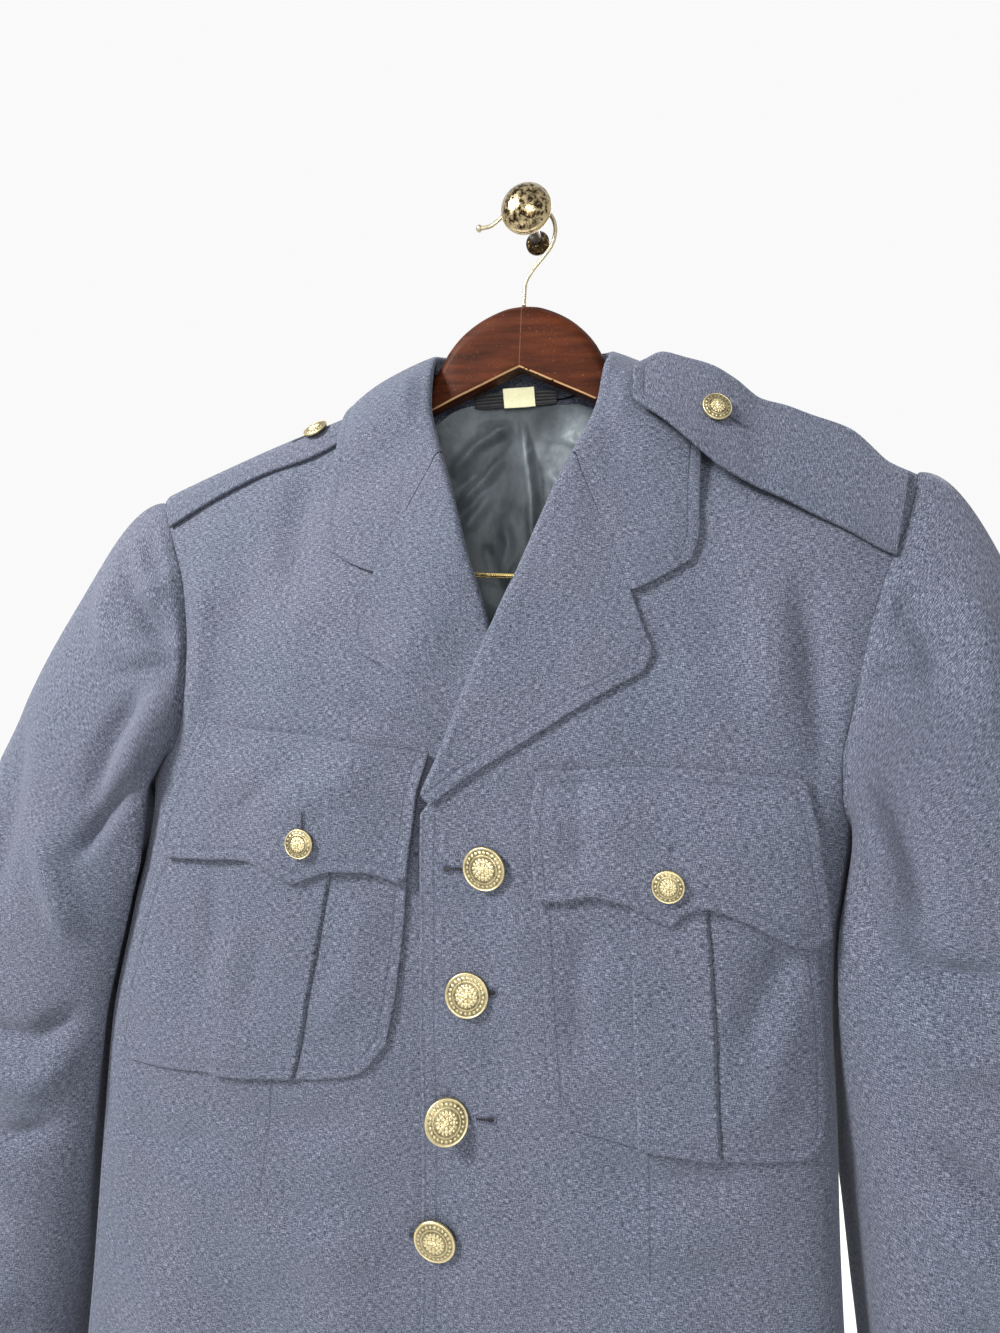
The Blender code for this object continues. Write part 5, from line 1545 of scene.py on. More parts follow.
@dataclass
class Collar:
    """The collar, its stand and fall in one, and the two lapels."""

    trunk: Trunk
    finishes: Finishes
    thick: float = 1.8
    fold_lift: float = 4.9
    fall_lift: float = 2.7
    pressed_lift: tuple[float, float] = (3.6, 3.3)
    lapel_top: float = 92.9
    lapel_length: float = 182.9
    grain_turn: float = 0.3

    def fold_row(self, fold: Any, seam: Any, fall: Sequence[Any], lifts: Sequence[float], side: Side) -> Grid:
        """Finds one row, from its seam round the fold and out over the front.

        Args:
            fold: Where it folds, across and up.
            seam: Where it is sewn on.
            fall: Places out to the free edge.
            lifts: The fold's height, then that of each place of the fall.
            side: Which side it is on.

        Returns:
            The row's points.
        """
        fold, seam = np.array(fold, float), np.array(seam, float)
        width = float(np.linalg.norm(seam - fold))
        out = (seam - fold) / width
        tall = lifts[0]
        steps = [(width, 0.0), (width * 0.42, 0.0), (0.25, 0.22 * tall), (-0.6, 0.5 * tall),
                 (0.3, 0.8 * tall)]
        flat = [(fold + out * near, rise) for near, rise in steps]
        flat += [(np.array(p, float), lift) for p, lift in zip(fall, lifts[1:])]
        x, z = np.array([p[0] for p, _ in flat]), np.array([p[1] for p, _ in flat])
        return self.trunk.point(x, z, side, lift=np.array([rise for _, rise in flat]))

    def gorge(self, side: Side) -> list[Grid]:
        """Places along the seam between collar and lapel, from the fold out."""
        end = np.array(LAPEL_END[side.value], float)
        return [end[0] + (end[3] - end[0]) * 0.13, end[1] * 0.8 + end[2] * 0.2, end[3], end[4], end[5]]

    def lapel(self, side: Side) -> Grid:
        """Finds the middle of a lapel.

        Args:
            side: Which side it is on.

        Returns:
            Rows along the fold, columns out to the free edge.
        """
        s = side.value
        column = 1 if side is Side.LEFT else 2
        end, start = np.array(LAPEL_END[s][0], float), self.gorge(side)
        reach = np.array([0.12, 0.3, 0.52, 0.76, 1.0])
        rows = []
        for u in spaced(96, 190):
            z = self.lapel_top - self.lapel_length * u
            fold = np.array([float(look_up(EDGE, z, column)), z])
            shrink = 1.0 - 0.4 * float(ease(u, 0.8, 1.0))
            low_z = z - 2.2 * shrink
            seam = np.array([float(look_up(INNER, low_z, column)) - s * 1.3, low_z])
            edge = along(LAPEL_EDGE[s], u)
            fall = [fold + (edge - fold) * r for r in reach]
            near = 1.0 - float(ease(u, 0.0, 0.1))
            fall = [f * (1 - near) + (p + (fold - end) * (1 - r)) * near
                    for f, p, r in zip(fall, start, reach)]
            tall = self.fold_lift * shrink
            mid = [tall + (self.fall_lift - tall) * r for r in (0.05, 0.3, 0.6, 0.85, 1.0)]
            if side is Side.LEFT:
                press = float(ease(u, 0.45, 0.8))
                tall = tall * (1 - press) + self.pressed_lift[0] * press
                mid = [m * (1 - press) + self.pressed_lift[1] * press for m in mid]
            rows.append(self.fold_row(fold, seam, fall, [tall] + mid, side))
        return np.stack([along(row, spaced(56, 90)) for row in rows])

    def collar_rows(self, side: Side) -> list[Grid]:
        """Finds the collar's rows from the middle of the back to the gorge.

        Args:
            side: Which side they are on.

        Returns:
            The rows, each from the seam round the fold to the free edge.
        """
        s = side.value
        rows = []
        back = [
            ((0, 24, 166), (0, 20.6, 138.0), (0, 31.2, 118)),
            ((20, 22.6, 165.5), (20, 19.6, 139), (30, 30.4, 117.5)),
            ((38, 17.2, 163.4), (38, 15.2, 143.2), (62, 24.4, 117.5)),
            ((48.5, 8.5, 161.2), (50, 8.4, 148.6), (90, 15.6, 119.5)),
            ((52, 0, 158.8), (56.2, 0, 151.2), (107, 1.5, 124)),
        ]
        for fold, seam, edge in back:
            fold, seam, edge = (np.array(p, float) for p in (fold, seam, edge))
            away = unit((edge - seam) * (1, 1, 0))
            up = np.array([0, 0, 1.0])
            over = fold + away * 2.4
            row = [seam, seam * 0.45 + fold * 0.55 - away * 0.4, fold - up * 1.6, fold + away * 0.9,
                   over - up * 0.5]
            for r, bulge in ((0.1, 1.0), (0.36, 3.4), (0.6, 3.2), (0.82, 1.6), (1.0, 0.0)):
                row.append(over * (1 - r) + edge * r + away * bulge * 0.6 + up * bulge * 0.9)
            rows.append(np.array(row) * [s, 1, 1])
        near = [
            ((50.8, -10.8, 147), (54.9, -9.9, 144.0),
             [(54.5, -14, 146.2), (64, -16.5, 141), (78, -18.5, 130.5), (92, -18, 119.5), (105, -15.5, 109)]),
            ((48.6, -19, 125.5), (53.0, -18.0, 124),
             [(51.8, -23.6, 124.6), (62, -27.5, 119), (77, -27.5, 110.5), (91, -26, 101.5),
              (103.6, -23.4, 91)]),
        ]
        for fold, seam, fall in near:
            fold, seam = np.array(fold, float), np.array(seam, float)
            tip = fold + np.array([-0.5, -2.3, 0.2])
            row = [seam, seam * 0.42 + fold * 0.58, fold, tip,
                   (tip + np.array(fall[0])) / 2 + np.array([0, -0.8, 0.3])]
            rows.append(np.array(row + [np.array(p) for p in fall]) * [s, 1, 1])
        for row in rows:
            out = np.abs(row[:, 0])
            row[:, 2] += 16.0 * ease(out, 80, 160) if side is Side.RIGHT else 3.3 * ease(out, 75, 98)
        corner = {-1: [(-84, 30.8), (-99.5, 38.5)], 1: [(87, 28.8), (100.5, 38)]}[s]
        gap = np.array([s * 0.1, 0.05])
        last = [p + gap for p in self.gorge(side)[:3]] + [np.array(p) for p in corner]
        for fold, seam, fall, lifts in (
            ((42.3, 107), (47.3, 105.4), [(45, 106), (57, 99.5), (72, 90), (88, 79), (103.4, 67)],
             [4.9, 4.9, 5.6, 5.8, 5.0, 3.6]),
            ((39.2, 99.5), (44.1, 97.5), [(42, 96.5), (52, 83), (65, 68.5), (84, 58.5), (103.8, 52.5)],
             [4.9, 4.8, 4.9, 4.8, 4.2, 3.2]),
            ((36.7, 93.5), (41.6, 92.4), last, [4.9, 4.66, 4.2, 3.6, 3.0, 2.7]),
        ):
            if fall is not last:
                fall = [(s * x, z) for x, z in fall]
            rows.append(self.fold_row((s * fold[0], fold[1]), (s * seam[0], seam[1]), fall, lifts, side))
        return rows

    def collar(self) -> Grid:
        """Finds the middle of the collar.

        Returns:
            Rows from the left gorge round to the right one.
        """
        stations = np.array(self.collar_rows(Side.LEFT)[::-1] + self.collar_rows(Side.RIGHT)[1:])
        grid = between(stations, spaced(190, 470) * (len(stations) - 1))
        return np.stack([along(row, spaced(48, 90)) for row in grid])

    def build(self) -> None:
        """Makes the lapels and the collar with their stitches."""
        stitch = Topstitch()
        for side in Side:
            name = "lapel_" + side.word
            grid = self.lapel(side)
            sheet = ClothSheet(name, grid, self.thick, self.outward(grid), edges=("last",),
                               weave=self.grain(grid, self.grain_turn * side.value))
            sewn = stitch.sew(name + "_stitches", self.in_view(sheet), self.finishes.thread)
            sheet.build(self.finishes.wool, "wool_cloth", ["front_" + side.word], [sewn])
        grid = self.collar()
        sheet = ClothSheet("collar", grid, self.thick, self.outward(grid), edges=("last",),
                           weave=self.grain(grid, 0.0))
        sewn = stitch.sew("collar_stitches", self.in_view(sheet), self.finishes.thread)
        sheet.build(self.finishes.wool, "wool_cloth", ["back_left", "back_right"], [sewn])

    def grain(self, grid: Grid, turn: float) -> Grid:
        """Finds millimetres across and along the grain, turned in the front's plane.

        Args:
            grid: The piece's points.
            turn: Its turn in radians.

        Returns:
            A pair for each point.
        """
        cos, sin = math.cos(turn), math.sin(turn)
        x, z = grid[..., 0], grid[..., 2] + 0.9 * grid[..., 1]
        return np.stack([x * cos + z * sin, z * cos - x * sin], axis=-1)

    def outward(self, grid: Grid) -> Grid:
        """Finds directions away from the trunk on the outer half of a folded piece.

        Args:
            grid: The piece's points.

        Returns:
            A direction for each point, nothing on the inner half.
        """
        away = np.zeros(grid.shape)
        cols = grid.shape[1]
        away[:, cols // 2:, 1] = np.where(grid[:, cols // 2:, 1] < 0, -1.0, 1.0)
        return away

    def in_view(self, sheet: ClothSheet) -> list[tuple[Grid, Grid]]:
        """The sewn lines of the fall, without the part that is hidden round the fold."""
        return [line for line in sheet.sewn_lines() if len(line[0]) > 12]


@dataclass
class BreastPockets:
    """The breast pockets, their flaps and the flaps' buttonholes."""

    trunk: Trunk
    finishes: Finishes
    cloth: float = 1.8
    flap_cloth: float = 2.2
    pocket_lift: float = 2.5
    pleat_rise: float = 1.9
    pleat_dip: float = 1.5
    pleats: tuple[float, float] = (0.38, 0.62)
    flap_lift: float = 3.1
    flap_stand: float = 4.1
    button_lift: float = 7.2

    def pocket(self, side: Side) -> Grid:
        """Finds the middle of a pocket, with its box pleat standing out.

        Args:
            side: Which side it is on.

        Returns:
            Rows from the outer edge to the inner one.
        """
        s = side.value
        spec = POCKETS[s]
        keys = np.array([0, 0.1, 0.24, 0.37, 0.39, 0.5, 0.61, 0.63, 0.78, 0.9, 1.0])
        top_key, low_key = along(spec["top"], keys), along(spec["low"], keys)
        top_move, low_move = np.zeros((11, 2)), np.zeros((11, 2))
        for i, pleat, shift in ((3, 0, 0.9 * s), (4, 0, -0.9 * s), (6, 1, 0.9 * s), (7, 1, -0.9 * s)):
            top_move[i] = np.array(spec["pleats"][pleat][0]) + (shift, 0) - top_key[i]
            low_move[i] = np.array(spec["pleats"][pleat][1]) + (shift, 0) - low_key[i]
        top_move[5], low_move[5] = (top_move[4] + top_move[6]) / 2, (low_move[4] + low_move[6]) / 2
        close = {round(start + 0.004 * k, 3) for start in (0.36, 0.612) for k in range(8)}
        shares = np.array(sorted(set(spaced(92, 165)) | close))
        levels = spaced(92, 160)
        top, low = along(spec["top"], shares), along(spec["low"], shares)
        for axis in (0, 1):
            top[:, axis] += np.interp(shares, keys, top_move[:, axis])
            low[:, axis] += np.interp(shares, keys, low_move[:, axis])
        outer, inner = along(spec["outer"], levels), along(spec["inner"], levels)
        v = levels[None, :, None]
        u = shares[:, None, None]
        flat = top[:, None] * (1 - v) + low[:, None] * v
        flat = flat + (1 - u) ** 2 * (outer - outer[0] - (outer[-1] - outer[0]) * levels[:, None])[None]
        flat = flat + u**2 * (inner - inner[0] - (inner[-1] - inner[0]) * levels[:, None])[None]
        first, second = self.pleats
        raised = ease(shares, first - 0.007, first + 0.007)
        raised = raised * (1 - ease(shares, second - 0.007, second + 0.007))
        deep = 0.632 if side is Side.LEFT else 0.368
        dip = np.exp(-(((shares - deep) / 0.007) ** 2))
        rise = self.pocket_lift + self.pleat_rise * raised - self.pleat_dip * dip
        rise = np.broadcast_to(rise[:, None], flat.shape[:2])
        return self.trunk.point(flat[..., 0], flat[..., 1], side, lift=rise)

    def flap(self, side: Side) -> Grid:
        """Finds the middle of a scalloped flap.

        Args:
            side: Which side it is on.

        Returns:
            Rows from the outer edge to the inner one.
        """
        spec = FLAPS[side.value]
        shares, levels = spaced(96, 150), spaced(50, 72)
        top, low = along(spec["top"], shares), along(spec["low"], shares)
        outer, inner = along(spec["outer"], levels), along(spec["inner"], levels)
        u, v = shares[:, None, None], levels[None, :, None]
        flat = (1 - v) * top[:, None] + v * low[:, None] + (1 - u) * outer[None] + u * inner[None]
        flat -= (1 - u) * (1 - v) * top[0] + u * (1 - v) * top[-1] + (1 - u) * v * low[0] + u * v * low[-1]
        rise = self.flap_lift + self.flap_stand * ease(v[..., 0], 0.0, 0.4)
        rise = np.broadcast_to(rise, flat.shape[:2])
        return self.trunk.point(flat[..., 0], flat[..., 1], side, lift=rise)

    def build(self) -> None:
        """Makes both pockets with all that is on them."""
        stitch = Topstitch()
        for side in Side:
            word = side.word
            grid = self.pocket(side)
            sheet = ClothSheet("pocket_" + word, grid, self.cloth, (0, -1, 0), weave=grid[..., [0, 2]],
                               edges=("start", "end", "last"), inset=5.5)
            sewn = stitch.sew(f"pocket_{word}_stitches", sheet.sewn_lines(), self.finishes.thread)
            sheet.build(self.finishes.wool, "wool_cloth", ["front_" + word], [sewn])
            grid = self.flap(side)
            sheet = ClothSheet("flap_" + word, grid, self.flap_cloth, (0, -1, 0), weave=grid[..., [0, 2]],
                               edges=("start", "end", "last") + (("first",) if side is Side.RIGHT else ()))
            sewn = stitch.sew(f"flap_{word}_stitches", sheet.sewn_lines(), self.finishes.thread)
            x, z = FLAP_BUTTONS[side.value]
            lift = self.button_lift + self.flap_cloth / 2
            low, high = (self.trunk.point(x + 0.4, h, side, lift=lift) for h in (z - 3, z + 17.4))
            up = self.trunk.point(x, z, side, lift=8.0) - self.trunk.point(x, z, side, lift=7.0)
            holes = Buttonhole(f"flap_hole_{word}", tuple(low), tuple(high), tuple(up), False, 0.3, 0.24)
            sheet.build(self.finishes.wool, "wool_cloth", ["front_" + word],
                        [sewn] + holes.build(self.finishes))


@dataclass
class Straps:
    """The two shoulder straps, of doubled cloth."""

    trunk: Trunk
    finishes: Finishes
    thick: float = 2.4
    length: float = 150.0
    width: float = 50.0
    spacing: float = 1.7
    lift: float = 3.1
    hole_length: float = 18.5

    def left_rows(self) -> Grid:
        """Finds rows across the left strap.

        Returns:
            Rows from the neck to the sleeve, each from the front edge to the back one.
        """
        rows = []
        for front_x, mid_x, back_x, front_drop, back_drop in STRAP_LEFT:
            row = []
            for share, face in ((1.0, -1), (0.42, -1), (0.1, -1), (0.0, 0), (0.09, 1), (0.42, 1), (1.0, 1)):
                far = front_x if face < 0 else back_x
                x = -(mid_x + (far - mid_x) * share)
                top = float(self.trunk.ridge(x, Side.LEFT))
                rise = self.lift + 0.6 * float(ease(mid_x, 108, 123))
                if face == 0:
                    row.append(np.array([x, 0.0, top + rise + 0.4]))
                    continue
                drop = (front_drop if face < 0 else back_drop) * share
                lift = rise - 0.9 * share**3
                where = Face.FRONT if face < 0 else Face.BACK
                row.append(self.trunk.point(x, top - drop, Side.LEFT, where, lift, creased=False))
            rows.append(row)
        return np.array(rows)

    def right_rows(self) -> Grid:
        """Finds rows across the right strap.

        Returns:
            Rows from the neck to the sleeve, each from the front edge to the back one.
        """
        rows = []
        for front, back in STRAP_RIGHT:
            front, back = np.array(front, float), np.array(back, float)
            rows.append([front + (back - front) * share + np.array([0, -0.9, 0.45]) * bulge
                         for share, bulge in ((0, 0), (0.25, 1.6), (0.5, 2.4), (0.78, 2.2), (1.0, 0.0))])
        for x_front, z_front, x_back, y_back in ((193, 46.5, 200, -4), (200.5, 43.5, 210, -4)):
            front = self.trunk.point(x_front, z_front, Side.RIGHT, lift=3.0, creased=False)
            back = np.array([x_back, y_back, self.trunk.shoulder_z(x_back, y_back, Side.RIGHT, 3.4)])
            rows.append([front + (back - front) * share + np.array([0, -0.75, 0.65]) * bulge
                         for share, bulge in ((0, 0), (0.25, 2.2), (0.5, 4.0), (0.78, 4.6), (1.0, 0.0))])
        return np.array(rows)

    def rows(self, side: Side) -> Grid:
        """Rows across one of the straps."""
        return self.left_rows() if side is Side.LEFT else self.right_rows()

    def button_place(self, side: Side) -> tuple[Grid, Grid, Grid]:
        """Finds where a strap's button sits.

        Args:
            side: Which side it is on.

        Returns:
            The place in the middle of the cloth, the way up from it and the way to the sleeve.
        """
        rows, i, j = self.rows(side), 2 if side is Side.LEFT else 4, 2
        way = np.cross(rows[i + 1, j] - rows[i - 1, j], rows[i, j + 1] - rows[i, j - 1])
        return rows[i, j], unit(way * np.sign(way[2])), unit(rows[i + 1, j] - rows[i, j])

    def strap(self, side: Side) -> Grid:
        """Finds the middle of a strap.

        Args:
            side: Which side it is on.

        Returns:
            A close grid through its rows.
        """
        rows = self.rows(side)
        lengthwise = spaced(int(self.length / self.spacing), self.length)
        crosswise = spaced(int(self.width / self.spacing), self.width)
        return np.stack([along(row, crosswise) for row in between(rows, lengthwise * (len(rows) - 1))])

    def build(self) -> None:
        """Makes both straps with their stitches and buttonholes."""
        stitch = Topstitch()
        for side in Side:
            name = "strap_" + side.word
            grid = self.strap(side)
            sheet = ClothSheet(name, grid, self.thick, (0, -0.5, 1), edges=("start", "first", "last"))
            sewn = stitch.sew(name + "_stitches", sheet.sewn_lines(), self.finishes.thread)
            place, way, ahead = self.button_place(side)
            start = place + way * (self.thick / 2 + 0.2) - ahead * 2
            hole = Buttonhole(name.replace("strap", "strap_hole"), tuple(start),
                              tuple(start + ahead * self.hole_length), tuple(way), False, 0.3, 0.28)
            sheet.build(self.finishes.wool, "wool_cloth", ["back_" + side.word, "front_" + side.word],
                        [sewn] + hole.build(self.finishes))


@dataclass
class Sleeves:
    """The two-piece sleeves; a turn is a share of the way round, from outside to the front."""

    trunk: Trunk
    finishes: Finishes
    thick: float = 1.8
    front_seam: float = 0.345
    back_seam: float = 0.675
    margin: float = 5.4
    crease_strength: tuple[float, float] = (1.9, 1.2)
    swell: tuple[float, float] = (5.2, 2.4)
    inner_bulge: float = 9.0
    rounds: int = 10

    def ring(self, side: Side, z: float, turn: Grid) -> Grid:
        """Finds points of a sleeve's ring.

        Args:
            side: Which side it is on.
            z: The ring's height.
            turn: 0 outside, 0.25 in front, 0.5 inside, 0.75 behind.

        Returns:
            The points.
        """
        columns = (1 if side is Side.LEFT else 2, 3, 4, 5)
        middle, wide, deep, mid_y = (float(look_up(SLEEVE, z, column)) for column in columns)
        angle = 2 * math.pi * turn
        cos, sin = np.cos(angle), np.sin(angle)
        x = middle + side.value * wide * np.sign(cos) * np.abs(cos) ** 0.8
        y = mid_y - deep * np.sign(sin) * np.abs(sin) ** 0.8
        if side is Side.RIGHT:
            x = x - self.inner_bulge * ease(-cos, 0.1, 0.7) * ease(-sin, 0.0, 0.5) * float(ease(-z, 190, 290))
        return np.stack([x, y, np.full(len(angle), float(z))], axis=-1)

    def clear(self, points: Grid, side: Side, fade: Grid) -> Grid:
        """Moves sleeve points sideways out of the trunk.

        Args:
            points: The sleeve's points.
            side: Which side it is on.
            fade: How much each point is moved, 0 to 1.

        Returns:
            The moved points.
        """
        points = points.copy()
        s = side.value
        x, y, z = s * points[..., 0], points[..., 1], points[..., 2]
        half = self.trunk.half(z, side) + self.margin
        deep = np.where(y < 0, look_up(BODY, z, 3), look_up(BODY, z, 4)) + self.margin
        root = half - 60.0
        way = x - root

        def inside(k: Grid) -> Grid:
            """Whether points that far out still lie in the trunk."""
            out = np.abs(root + np.maximum(way, 1.0) * k) / half
            return out**OUTLINE_POWER + (np.abs(y * k) / deep) ** OUTLINE_POWER < 1.0

        within = (np.abs(x) / half) ** OUTLINE_POWER + (np.abs(y) / deep) ** OUTLINE_POWER < 1.0
        caught = within & (z <= ARMPIT_Z + 40)
        low, high = np.ones(x.shape), np.full(x.shape, 60.0)
        for _ in range(30):
            middle = (low + high) / 2
            held = inside(middle)
            low, high = np.where(held, middle, low), np.where(held, high, middle)
        share = np.where(caught, ease(ARMPIT_Z + 40 - z, 0.0, 34.0), 0.0) * fade
        points[..., 0] += share * (s * (root + np.maximum(way, 1.0) * high) - points[..., 0])
        points[..., 1] += share * (y * high - y)
        return points

    def grid(self, side: Side, turns: Grid) -> Grid:
        """Finds the middle of a sleeve without creases.

        Args:
            side: Which side it is on.
            turns: Places round it.

        Returns:
            Rows from the armhole to the cuff.
        """
        s = side.value
        seam = along(self.trunk.armhole(side), turns % 1.0)
        angle = 2 * math.pi * turns
        under = np.maximum(-np.cos(angle), 0.0)
        over = np.maximum(np.cos(angle), 0.0)
        front = np.sin(angle)
        apart = [s * (0.5 + 2.6 * under + 0.6 * over), -1.4 * front * under]
        start = seam + np.stack(apart + [-0.3 + 0.2 * under + 1.8 * over**4], axis=-1)
        ring = self.ring(side, SLEEVE_TOP_Z, turns)
        length = np.linalg.norm(ring - start, axis=1)
        outward = s * (18 + 96 * over + 40 * np.abs(front))
        leave = np.stack([outward, -20 * front, -12 + 20 * over**2], axis=-1)
        leave *= np.minimum(length / 150.0, 1.0)[:, None]
        arrive = np.array([s * 0.22, 0.0, -1.0]) * length[:, None] * 0.85
        tuck = np.stack([-s * (2.4 - 1.2 * under), 2.4 * front, -2.6 * over + 0.4 * under], axis=-1)
        rows = [seam + tuck, seam + tuck * 0.7, start + tuck * 0.35]
        for t in sorted(set(spaced(44, 200, (True, False))[:-1]) | {0.0095, 0.015, 0.03, 0.0375}):
            rows.append(
                (1 + 2 * t) * (1 - t) ** 2 * start + t * (1 - t) ** 2 * leave
                + t * t * (3 - 2 * t) * ring + t * t * (t - 1) * arrive
            )
        for z in SLEEVE_TOP_Z - SLEEVE_REST * spaced(82, SLEEVE_REST, (False, True)):
            rows.append(self.ring(side, z, turns))
        rows = np.stack(rows)
        step = np.linalg.norm(np.diff(rows, axis=0), axis=-1)
        run = np.concatenate([np.zeros((1, len(turns))), np.cumsum(step, axis=0)])
        return self.clear(rows, side, ease(run, 8.0, 46.0))

    def creased(self, side: Side, turns: Grid) -> Grid:
        """Finds a sleeve's middle with its creases, which fade at the armhole and the cuff.

        Args:
            side: Which side it is on.
            turns: Places round it.

        Returns:
            Rows from the armhole to the cuff.
        """
        grid = self.grid(side, turns)
        lean = self.grid(side, turns + 0.012) - self.grid(side, turns - 0.012)
        normal = unit(np.cross(np.gradient(grid, axis=0), lean))
        if float(np.sum(normal[44:] * self.radial(side, turns))) < 0:
            normal = -normal
        sine = np.sin(2 * math.pi * turns)[None, :]
        x, z = grid[..., 0], grid[..., 2]
        rise = np.zeros(x.shape)
        before, behind = self.crease_strength
        for rows, weight in ((SLEEVE_FRONT, before * ease(sine, -0.1, 0.45)),
                             (SLEEVE_BACK, behind * ease(-sine, -0.1, 0.45))):
            for crease in rows[side.value]:
                rise += crease.rise(x, z) * weight
        turn = turns[None, :]
        rise += 0.7 * np.sin(z / 21.0 + 5.0 * turn) * np.sin(z / 37.0 + 9.0 * turn + side.value)
        run = np.concatenate([[0.0], np.cumsum(np.linalg.norm(np.diff(grid, axis=0), axis=-1).mean(axis=1))])
        rise *= (ease(run, 3.0, 15.0) * (1 - 0.7 * ease(run, run[-1] - 30, run[-1])))[:, None]
        swell = self.swell[0 if side is Side.LEFT else 1] * ease(sine, 0.1, 0.6) * ease(90.0 - z, 0.0, 80.0)
        swell = swell * ease(z, -96.0, -52.0)
        rise += swell * (ease(run, 1.5, 9.0) * (1 - ease(run, 18, 64)))[:, None]
        inner = ease(-np.cos(2 * math.pi * turns), 0.55, 0.9)[None, :]
        rise = np.where(rise > 0, rise * (1 - 0.8 * inner), rise * (1 - 0.5 * inner))
        made = grid + normal * rise[..., None]
        calm = ease(-np.cos(2 * math.pi * turns), -0.2, 0.3)[None, :] * ease(z, -150, -125) * ease(-z, 30, 50)
        calm[:4] = 0.0
        for _ in range(self.rounds):
            soft = made.copy()
            soft[1:-1] = (made[:-2] + 2.0 * made[1:-1] + made[2:]) / 4.0
            made += (soft - made) * calm[..., None]
        return made

    def radial(self, side: Side, turns: Grid) -> Grid:
        """Level directions away from the sleeve's middle."""
        angle = 2 * math.pi * turns
        return np.stack([side.value * np.cos(angle), -np.sin(angle), np.zeros(len(angle))], axis=-1)[None]

    def build(self) -> None:
        """Makes the top and under parts of both sleeves."""
        for side in Side:
            parts = (("top", self.back_seam - 1.0, self.front_seam, 76),
                     ("under", self.front_seam, self.back_seam, 38))
            for part, first, last, count in parts:
                turns = first + (last - first) * spaced(count, 330 * (last - first))
                grid = self.creased(side, turns)
                lean = self.creased(side, turns + 0.006) - self.creased(side, turns - 0.006)
                name = f"sleeve_{part}_{side.word}"
                away = np.broadcast_to(self.radial(side, turns), grid.shape)
                sheet = ClothSheet(name, grid, self.thick, away, across=lean, rims=(True, True, False, False))
                sheet.build(self.finishes.wool, "wool_cloth", ["front_" + side.word, "back_" + side.word])


@dataclass
class NeckInside:
    """What shows inside the neck: the lining, the tape it hangs by and the bare label."""

    trunk: Trunk
    finishes: Finishes
    lining_thick: float = 0.6
    lining_width: float = 300.0
    lining_end_z: float = -125.0
    wrinkle_strength: float = 1.9
    tape_thick: float = 1.0
    tape_height: float = 9.2
    label_thick: float = 0.5

    def lining(self) -> Grid:
        """Finds the middle of the lining.

        Returns:
            Rows from the neck down.
        """
        top = [(0, 135.6), (30, 135.6), (44, 132), (55, 124), (75, 111), (110, 91), (150, 72)]
        xs = -self.lining_width / 2 + self.lining_width * spaced(150, self.lining_width)
        rows = []
        for t in spaced(130, 260):
            z = look_up(top, np.abs(xs)) * (1 - t) + self.lining_end_z * t
            inward = 2.2 + 1.8 * ease(t, 0, 0.15)
            inward = inward + 2.4 * ease(np.abs(xs), 20, 45) * (1 - ease(np.abs(xs), 100, 125))
            wrinkle = self.wrinkle_strength * sum(crease.rise(xs, z) for crease in LINING_CREASES)
            wrinkle = wrinkle + 0.5 * np.sin(xs / 6.1 + z / 8.7) * np.sin(z / 10.3 - xs / 13.0)
            inward = np.maximum(inward + wrinkle * ease(t, 0.0, 0.06), 1.9)
            parts = [self.trunk.point(xs, z, side, Face.BACK, -inward, creased=False) for side in Side]
            row = np.where((xs < 0)[:, None], parts[0], parts[1])
            cloth = [self.trunk.depth(xs, z, side, Face.BACK) for side in Side]
            row[:, 1] = np.minimum(row[:, 1], np.where(xs < 0, cloth[0], cloth[1]) - 1.6)
            rows.append(row)
        return np.stack(rows)

    def neck_depth(self, xs: Grid) -> Grid:
        """How far back the neck's cloth lies."""
        return self.trunk.depth(np.abs(xs), BACK_NECK_Z, Side.RIGHT, Face.BACK, creased=False)

    def tape(self) -> Grid:
        """Finds the middle of the ribbed tape, which bows out from the neck.

        Returns:
            Rows from its lower edge up.
        """
        xs = -31 + 50.5 * spaced(60, 50)
        bows = [(-31, 0), (-27, 0.8), (-20, 1.8), (-10, 2.4), (0, 2.4), (8, 1.8), (15, 0.8), (19.5, 0)]
        bow, base = look_up(bows, xs), self.neck_depth(xs)
        rows = []
        for v in spaced(34, self.tape_height):
            slope = 0.16 * ease(np.abs(xs + 5.75), 19, 25)
            height = (v - 0.5) * self.tape_height * (1.0 - slope)
            rib = 0.28 * np.cos(2 * math.pi * v * 4.5)
            rows.append(np.stack([xs, base - 4.4 - bow - rib, 138.0 + 0.06 * xs + height], axis=-1))
        return np.array(rows)

    def label(self) -> Grid:
        """Finds the middle of the label, which lies askew on the tape.

        Returns:
            Rows from its lower edge up.
        """
        xs = -13.5 + 19 * spaced(24, 19)
        base = self.neck_depth(xs)
        rows = []
        for v in spaced(18, 12):
            curl = 0.5 * math.sin(math.pi * v) + 0.3 * np.sin(xs / 4.0 + 3 * v)
            z = 138.4 + 0.06 * xs + (v - 0.5) * 11.8
            rows.append(np.stack([xs + 1.6 * (1 - v), base - 8.2 - curl * 0.6, z], axis=-1))
        return np.array(rows)

    def build(self) -> None:
        """Makes the lining, the tape and the label."""
        grid = self.lining()
        sheet = ClothSheet("back_lining", grid, self.lining_thick, (0, -1, 0), weave=grid[..., [0, 2]])
        sheet.build(self.finishes.satin, "lining_satin", ["back_left", "back_right"])
        sheet = ClothSheet("hanging_loop", self.tape(), self.tape_thick, (0, -1, 0))
        sheet.build(self.finishes.tape, "loop_tape", ["collar"])
        sheet = ClothSheet("label", self.label(), self.label_thick, (0, -1, 0))
        sheet.build(self.finishes.label, "label_cloth", ["hanging_loop"])


